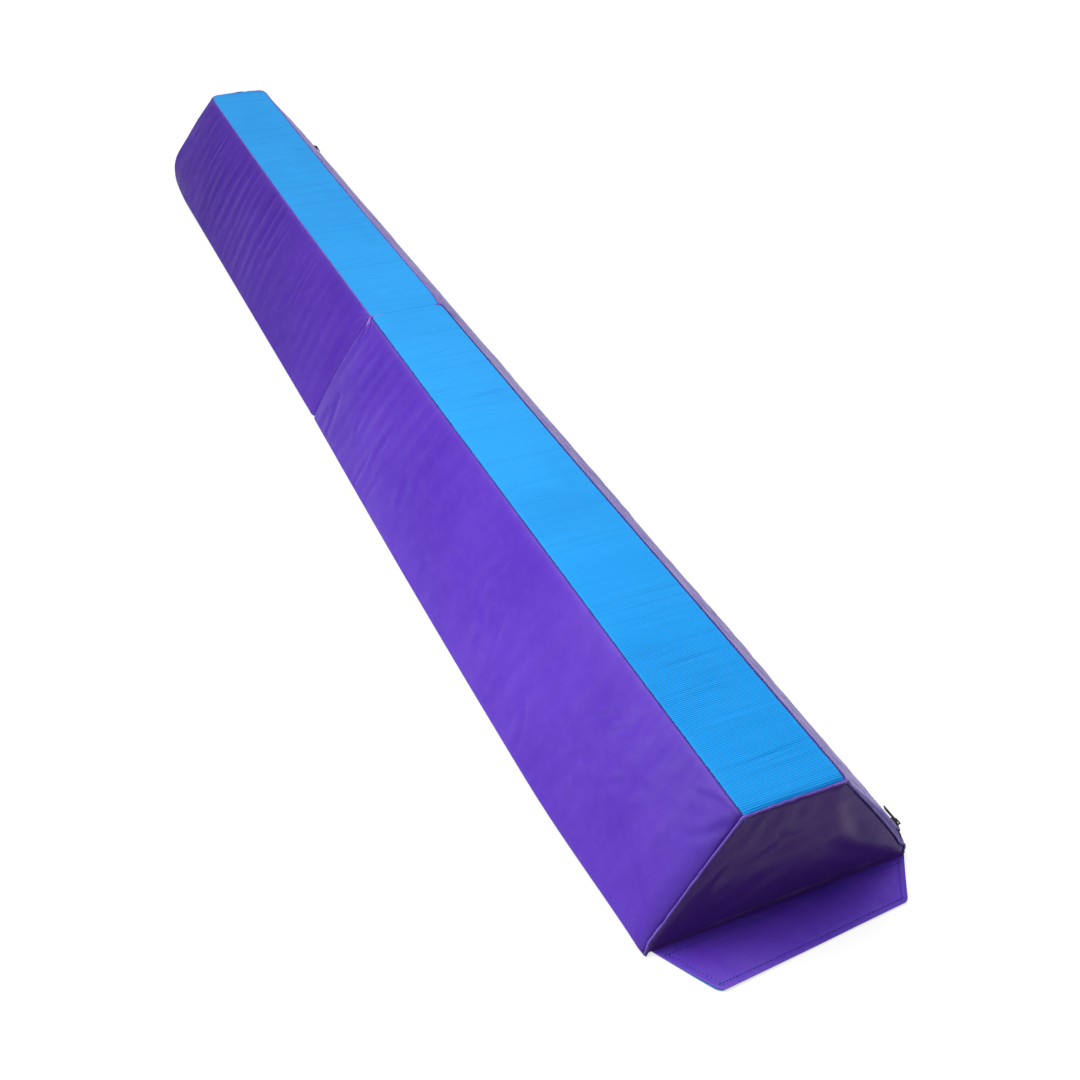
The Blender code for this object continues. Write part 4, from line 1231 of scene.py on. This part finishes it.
def build_zip(tag):
    half = HALVES[tag]
    z0, z1 = half["zip"]
    body = half["body"]
    # woven tapes, with a fine rib along the edge that meets the teeth
    for part, side in (("upper", -1), ("lower", 1)):
        ts = side * np.array([0.0004, 0.0008, 0.0014, 0.0022, 0.0034, 0.0048, 0.0062,
                              0.0080, 0.0100, 0.0120, 0.0138])
        ys = np.arange(z0 - 0.0066, z1 + 0.0068, 0.0040)
        t, y = np.meshgrid(ts, ys, indexing="ij")
        ripple = 0.00006 * lattice_noise(t, y, 0.01, 0.012, half["seed"] + 900 + side)
        drop = -0.00150 + ripple + 0.00010 * np.exp(-np.abs(t) / 0.001)
        outer = under_panel(t, y, drop)
        inner = under_panel(t, y, drop - 0.0005)
        obj = shell(f"{tag}_zip_tape_{part}_cloth", outer, inner)
        piece(obj, body, "tape", [f"{tag}_zip_tape_{part}"])
    # coil teeth from both tapes, meshing on the line, on two sewn cords
    pitch = 0.00165
    ys = np.arange(z0 + 0.0024, z1 - 0.0024, pitch)
    parts = []
    for side, shift in ((-1, 0.0), (1, pitch / 2)):
        centres = zip_point(side * 0.00085, ys + shift, 0.00028)
        parts.append(box_parts(centres, ZIP_DOWN, ALONG, ZIP_OUT, 0.00195, 0.00036, 0.00088))
        run = np.arange(z0 + 0.0021, z1 - 0.0020, 0.0030)
        parts.append(tube_parts(zip_point(side * 0.00235, run, -0.00015), 0.00062, 8))
    bed_t, bed_y = np.meshgrid(np.array([-0.0029, -0.0015, 0.0, 0.0015, 0.0029]),
                               np.arange(z0 + 0.0021, z1 - 0.0020, 0.0060), indexing="ij")
    bed = zip_point(bed_t, bed_y, -0.00062)
    nu, nv = bed.shape[:2]
    bed_low = zip_point(bed_t, bed_y, -0.00100)
    parts.append((np.concatenate([bed.reshape(-1, 3), bed_low.reshape(-1, 3)]),
                  shell_faces(nu, nv)[:, ::-1], np.zeros((0, 3), int)))
    obj = mesh_object(f"{tag}_zip_teeth", *gather(parts))
    obj.data.polygons.foreach_set("use_smooth", np.zeros(len(obj.data.polygons), bool))
    piece(obj, body, "teeth", [f"{tag}_zip_chain"])
    # lines of stitching that hold the tapes to the panel
    threads = []
    for side in (-1, 1):
        ys = np.arange(z0 - 0.002, z1 + 0.002, 0.0048)
        t = ZIP_S * SLOPE_LEN + side * 0.0086
        s = np.full(len(ys), t / SLOPE_LEN)
        reach = np.full(len(ys), 0.0026)
        level = side_field(tag, 1, ys, np.full(len(ys), t)) * smooth(0.003, 0.022, reach)
        centres = side_surface(s, ys, 1, level - 0.0001)
        threads.append(stitch_parts(settle(centres, tag), np.tile(ALONG, (len(ys), 1)),
                                    np.tile(ZIP_OUT, (len(ys), 1)), 0.0036, 0.00030))
    obj = mesh_object(f"{tag}_zip_stitches", *gather(threads))
    piece(obj, body, "dark_thread")
    for node in (f"{tag}_zip_stop_near", f"{tag}_zip_stop_far", f"{tag}_zip_slider",
                 f"{tag}_zip_pull"):
        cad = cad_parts[node]
        cad.data.materials.clear()
        cad.data.materials.append(MAT["metal"])


# ---------------------------------------------------------------------- fold
def build_hinge():
    """Strip of cloth sewn between the inner ends, an upturned U over the fold."""
    leaf = 0.00065
    zs = np.linspace(0.1405, 0.1728, 26)
    near_leaf = np.stack([np.full(26, Y_FOLD - leaf), zs], -1)
    angle = np.linspace(math.pi, 0, 19)[1:-1]
    arch = np.stack([Y_FOLD + leaf * np.cos(angle), 0.1728 + 0.0009 * np.sin(angle)], -1)
    far_leaf = np.stack([np.full(26, Y_FOLD + leaf), zs[::-1]], -1)
    line = np.concatenate([near_leaf, arch, far_leaf])
    tangent = np.gradient(line, axis=0)
    tangent /= np.linalg.norm(tangent, axis=1)[:, None]
    normal = np.stack([-tangent[:, 1], tangent[:, 0]], -1)
    xs = np.linspace(-0.0592, 0.0592, 61)
    ripple = 0.00006 * lattice_noise(xs[:, None] + 0 * line[None, :, 0],
                                     0 * xs[:, None] + line[None, :, 1], 0.006, 0.01, 77)
    outer2 = line[None] + normal[None] * (0.00020 + ripple)[..., None]
    inner2 = line[None] - normal[None] * (0.00020 - ripple)[..., None]

    def full(p):
        return np.stack([np.broadcast_to(xs[:, None], p.shape[:2]), p[..., 0], p[..., 1]], -1)

    obj = shell("fold_hinge_cloth", full(outer2), full(inner2),
                attributes={"wear_and_highlight": np.full(outer2.shape[:2], 0.3)})
    put_on(obj, "hinge")
    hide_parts("near_hinge_tape", "far_hinge_tape")
    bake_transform(obj)
    return obj


def build_knot():
    """The gathered end of the fold seam at the top left corner, with its
    drawn threads of cloth running out over the side and along the fold."""
    rng = np.random.default_rng(5)
    parts = []
    corner = np.array([-TOP_W / 2 - 0.0010, Y_FOLD - 0.0034, HEIGHT - 0.0028])
    for k in range(8):
        a = rng.uniform(0, 2 * math.pi)
        size = rng.uniform(0.0012, 0.0021)
        u = np.linspace(0, 2 * math.pi, 15)[:-1]
        tilt = Vector(rng.uniform(-1, 1, 3)).normalized()
        basis = np.array(tilt.to_track_quat("Z", "Y").to_matrix())
        loop = np.stack([size * np.cos(u), size * 0.7 * np.sin(u), 0.0003 * np.sin(3 * u + a)], -1)
        loop = loop[:12]
        parts.append(tube_parts(loop @ basis.T + corner + rng.uniform(-0.0008, 0.0008, 3),
                                0.00055, 7))
    # (along the beam, down the side) of each strand's end, and its thickness
    for ahead, down, size in ((-0.0015, 0.021, 0.0009), (-0.0060, 0.014, 0.0008),
                              (-0.0125, 0.0085, 0.0007), (-0.0110, 0.0170, 0.0006)):
        k = np.linspace(0, 1, 14)
        bend = 0.0016 * np.sin(k * math.pi) * rng.uniform(-1, 1)
        t = down * k
        path = np.stack([-SLOPE_X / SLOPE_LEN * t - SIDE_NX * (0.0004 + 0.0014 * k),
                         ahead * k + bend,
                         -SIDE_NX * t + SIDE_NZ * (0.0004 + 0.0014 * k)], -1) + corner
        parts.append(tube_parts(path, 1.5 * size * (1 - 0.65 * k), 8))
    k = np.linspace(0, 1, 14)
    path = np.stack([0.0290 * k, 0.0016 * k ** 0.6, 0.0016 * np.minimum(1, 2.5 * k) - 0.0003 * k],
                    -1) + corner
    parts.append(tube_parts(path, 0.0015 * (1 - 0.7 * k), 8))
    verts, quads, tris = gather(parts)
    verts[:, 2] = np.minimum(verts[:, 2], TOP_LIMIT - 0.00002)
    verts[:, 1] = np.minimum(verts[:, 1], Y_FOLD - 0.0004)
    piece(mesh_object("fold_corner_knot", verts, quads, tris), "near_half", "whisker")


def build_gusset():
    """Purple cloth under the blue at the fold; it shows at the cut corners."""
    xw = TOP_W / 2 - 0.0004
    xs = steps(-xw, xw, 0.0050)
    ys = steps(Y_FOLD - 0.0170, Y_FOLD - FOLD_CLEAR + 0.0004, 0.0012)
    x, y = np.meshgrid(xs, ys, indexing="ij")
    edge = np.minimum(xw - np.abs(x), ys[-1] - y)
    z = TOP_LEVEL - 0.00085 + 0.00012 * lattice_noise(x, y, 0.004, 0.006, 611) \
        - roll(edge, 0.0012) * 0.7
    outer = np.stack([x, y, z], -1)
    obj = shell("near_fold_gusset", settle(outer, "near"),
                settle(outer - np.array([0, 0, 0.0007]), "near"),
                attributes={"wear_and_highlight": 0.35 + 0 * x})
    piece(obj, "near_half", "welt")


# ---------------------------------------------------------------------- flap
ROOT_Y = Y_NEAR - FLAP_CLEAR
OUTER_Y = Y_NEAR - FLAP_REACH


def flap_half_width(y, margin):
    k = (ROOT_Y - y) / (ROOT_Y - OUTER_Y)
    half = FLAP_ROOT_W / 2 + (FLAP_OUTER_W - FLAP_ROOT_W) / 2 * k - margin
    r = FLAP_CORNER_R
    near_edge = np.clip((OUTER_Y + margin + r - y) / r, 0, 1)
    return half - r * 0.75 * (1 - np.sqrt(np.clip(1 - near_edge ** 2, 0, 1)))


def flap_lift(x, y):
    """How far the flap stands off the floor."""
    k = (ROOT_Y - y) / (ROOT_Y - OUTER_Y)
    wave = 0.5 + 0.5 * lattice_noise(x, y, 0.07, 0.2, 901)
    return (k ** 1.5) * (0.0007 * wave + 0.0007 * np.exp(-((x + 0.125) / 0.03) ** 2))


def flap_place(points):
    """The flap is sewn on a little to the right, and cut slightly askew."""
    points = np.array(points, float)
    k = (ROOT_Y - points[..., 1]) / (ROOT_Y - OUTER_Y)
    points[..., 1] += k * (-0.0012 + 0.068 * points[..., 0])
    points[..., 0] += FLAP_SHIFT + 0.004 * k
    return points


def build_flap_layer(name, margin, low, thick, mat, node, extra=0.0):
    rows = np.array([0.0, 0.0002, 0.0006, 0.0014])
    ys = ROOT_Y - np.concatenate([rows, np.linspace(0.003, FLAP_REACH - 0.010, 24),
                                  FLAP_REACH - FLAP_CLEAR - margin
                                  - np.array([0.0080, 0.0066, 0.0053, 0.0041, 0.0031, 0.0023,
                                              0.0016, 0.0010, 0.0006, 0.0003, 0.0001, 0.0])])
    a = np.sin(np.linspace(-1, 1, 101) * math.pi / 2 * 0.95) / math.sin(math.pi / 2 * 0.95)
    y, a = np.meshgrid(ys, a, indexing="ij")
    x = a * flap_half_width(y, margin)
    x = x - extra * np.clip(-a, 0, 1) * smooth(ROOT_Y, OUTER_Y, y)
    side_gap = (1 - np.abs(a)) * 0.14
    edge = np.minimum(side_gap, y - ys[-1])
    field = 0.00012 * lattice_noise(x, y, 0.010, 0.010, 905)
    seam = np.exp(-((edge - 0.0070) / 0.0011) ** 2) + np.exp(-(((ROOT_Y - y) - 0.0090) / 0.0011) ** 2)
    top = low + thick + (field - 0.00022 * seam if thick > 0.0009 else 0.0 * x)
    lift = flap_lift(x, y)
    round_top = roll(edge, 0.0004)
    outer = flap_place(np.stack([x, y, top + lift - round_top], -1))
    inner = flap_place(np.stack([x, y, low + lift + roll(edge, 0.0003)], -1))
    # the lighter patch at the outer left corner is a painted pool of light; the lighter edges are
    # rubbing
    blotch = np.exp(-((x + 0.115) / 0.055) ** 2 - ((y - OUTER_Y) / 0.030) ** 2)
    wear_and_highlight = 0.5 * np.exp(-edge / 0.0016) + 0.55 * blotch
    obj = shell(name, outer, inner, attributes={"wear_and_highlight": np.clip(wear_and_highlight, 0, 1)})
    piece(obj, "end_flap", mat, [node])
    return obj


def build_flap():
    build_flap_layer("end_flap_vinyl", 0.0, 0.0011, 0.0010, "flap", "flap_cover")
    build_flap_layer("end_flap_lining", 0.0006, 0.00005, 0.00085, "lining",
                     "flap_lining", 0.0022)
    inset = 0.0072

    def line(x0, y0, x1, y1, pitch=0.0044):
        n = max(2, round(math.hypot(x1 - x0, y1 - y0) / pitch))
        k = (np.arange(n) + 0.5) / n
        return np.stack([x0 + (x1 - x0) * k, y0 + (y1 - y0) * k], -1), (x1 - x0, y1 - y0)

    slant = (FLAP_ROOT_W - FLAP_OUTER_W) / 2 / (ROOT_Y - OUTER_Y)
    lean = math.hypot(1, slant)

    def edge_x(y):
        return FLAP_ROOT_W / 2 - slant * (ROOT_Y - y) - inset * lean

    y_out, y_root = OUTER_Y + inset, ROOT_Y - 0.0088
    parts = []
    runs = [(-edge_x(y_out) - 0.004, y_out, edge_x(y_out) + 0.004, y_out),
            (-edge_x(y_root) - 0.005, y_root, edge_x(y_root) + 0.005, y_root),
            (-edge_x(ROOT_Y - 0.001), ROOT_Y - 0.001, -edge_x(y_out - 0.004), y_out - 0.004),
            (edge_x(ROOT_Y - 0.0045), ROOT_Y - 0.0045, edge_x(y_out - 0.004), y_out - 0.004)]
    for x0, y0, x1, y1 in runs:
        places, (dx, dy) = line(x0, y0, x1, y1)
        places = places + 0.00015 * np.stack([lattice_noise(places[:, 0], places[:, 1], 0.006,
                                                            0.006, 911 + q) for q in (0, 1)], -1)
        z = 0.00197 + flap_lift(places[:, 0], places[:, 1])
        centres = flap_place(np.stack([places[:, 0], places[:, 1], z], -1))
        parts.append(stitch_parts(centres, np.tile([dx, dy, 0.0], (len(z), 1)),
                                  np.tile([0, 0, 1.0], (len(z), 1)), 0.0035, 0.00056))
    obj = mesh_object("end_flap_stitches", *gather(parts))
    piece(obj, "end_flap", "blue_thread")
    # the turned-in edge of the end panel, along the flap's root
    xs = np.linspace(-0.1580, 0.1800, 140)
    sway = lattice_noise(xs, xs * 0, 0.018, 1.0, 931)
    slim = np.stack([xs, Y_NEAR + 0.00080 + 0.00010 * sway, 0.00148 + 0.0001 * sway], -1)
    corner = np.linspace(0.1480, 0.1815, 24)
    thick = 0.0010 + 0.0018 * smooth(0.148, 0.166, corner) * smooth(0.1850, 0.178, corner)
    full = np.stack([corner, Y_NEAR + thick - 0.0003 + 0.0002 * smooth(0.17, 0.18, corner),
                     thick + 0.0006], -1)
    edge = mesh_object("near_flap_root_seam", *gather([tube_parts(slim, 0.00130, 10),
                                                       tube_parts(full, thick, 12)]))
    # made in the same darker copy of the purple vinyl: painted shade along the flap's root
    piece(edge, "near_half", "end_vinyl")


# -------------------------------------------------------------------- build
for tag in HALVES:
    build_foam(tag)
    build_top(tag)
    build_side(tag, -1)
    build_side(tag, 1)
    build_end(tag)
    build_inner_end(tag)
    build_base(tag)
    build_welt(tag)
    build_edge_seams(tag)
    build_zip(tag)
build_hinge()
build_knot()
build_gusset()
build_flap()

# -------------------------------------------------------- camera and studio
scene = bpy.context.scene
lens = bpy.data.cameras.new("camera")
lens.sensor_width = 36.0
lens.lens = 43.757
lens.clip_start, lens.clip_end = 0.05, 200.0
camera = bpy.data.objects.new("camera", lens)
scene.collection.objects.link(camera)
right = Vector((0.9103, -0.4133, 0.0251)).normalized()
ahead = Vector((0.3447, 0.7229, -0.5988)).normalized()
right = (right - ahead * right.dot(ahead)).normalized()
up = right.cross(ahead)
turn = Matrix((right, up, -ahead)).transposed().to_4x4()
camera.matrix_world = Matrix.Translation((-0.6542, -1.9000, 1.2075)) @ turn
scene.camera = camera

xs = np.linspace(-30, 30, 25)
gx, gy = np.meshgrid(xs, xs, indexing="ij")
ground = np.stack([gx, gy, np.full_like(gx, -0.0004)], -1)
grid = np.arange(gx.size).reshape(gx.shape)
floor = mesh_object("studio_floor", ground, np.stack(
    [grid[:-1, :-1], grid[1:, :-1], grid[1:, 1:], grid[:-1, 1:]], -1).reshape(-1, 4))
floor.data.materials.append(floor_material())
floor.visible_diffuse = False

world = bpy.data.worlds.new("studio")
scene.world = world
world.use_nodes = True
world.node_tree.nodes["Background"].inputs["Color"].default_value = (1.0, 0.945, 0.985, 1.0)
world.node_tree.nodes["Background"].inputs["Strength"].default_value = 0.22

sun_data = bpy.data.lights.new("softbox", "SUN")
sun_data.energy = 2.22
sun_data.angle = math.radians(42)
sun_data.color = (1.0, 0.995, 0.985)
sun = bpy.data.objects.new("softbox", sun_data)
scene.collection.objects.link(sun)
sun.rotation_mode = "QUATERNION"
sun.rotation_quaternion = (-Vector((-0.02, 0.28, 0.95))).to_track_quat("-Z", "Y")

# a second softbox beside the near half
box_data = bpy.data.lights.new("side_softbox", "AREA")
box_data.shape = "RECTANGLE"
box_data.size, box_data.size_y = 0.9, 0.7
box_data.energy = 11.2
side_box = bpy.data.objects.new("side_softbox", box_data)
scene.collection.objects.link(side_box)
side_box.location = (-1.15, -0.62, 0.62)
side_box.rotation_mode = "QUATERNION"
side_box.rotation_quaternion = (Vector((-0.12, -0.60, 0.09)) - Vector((-1.15, -0.62, 0.62))) \
    .to_track_quat("-Z", "Y")
side_box.visible_camera = False

scene.view_settings.view_transform = "Standard"
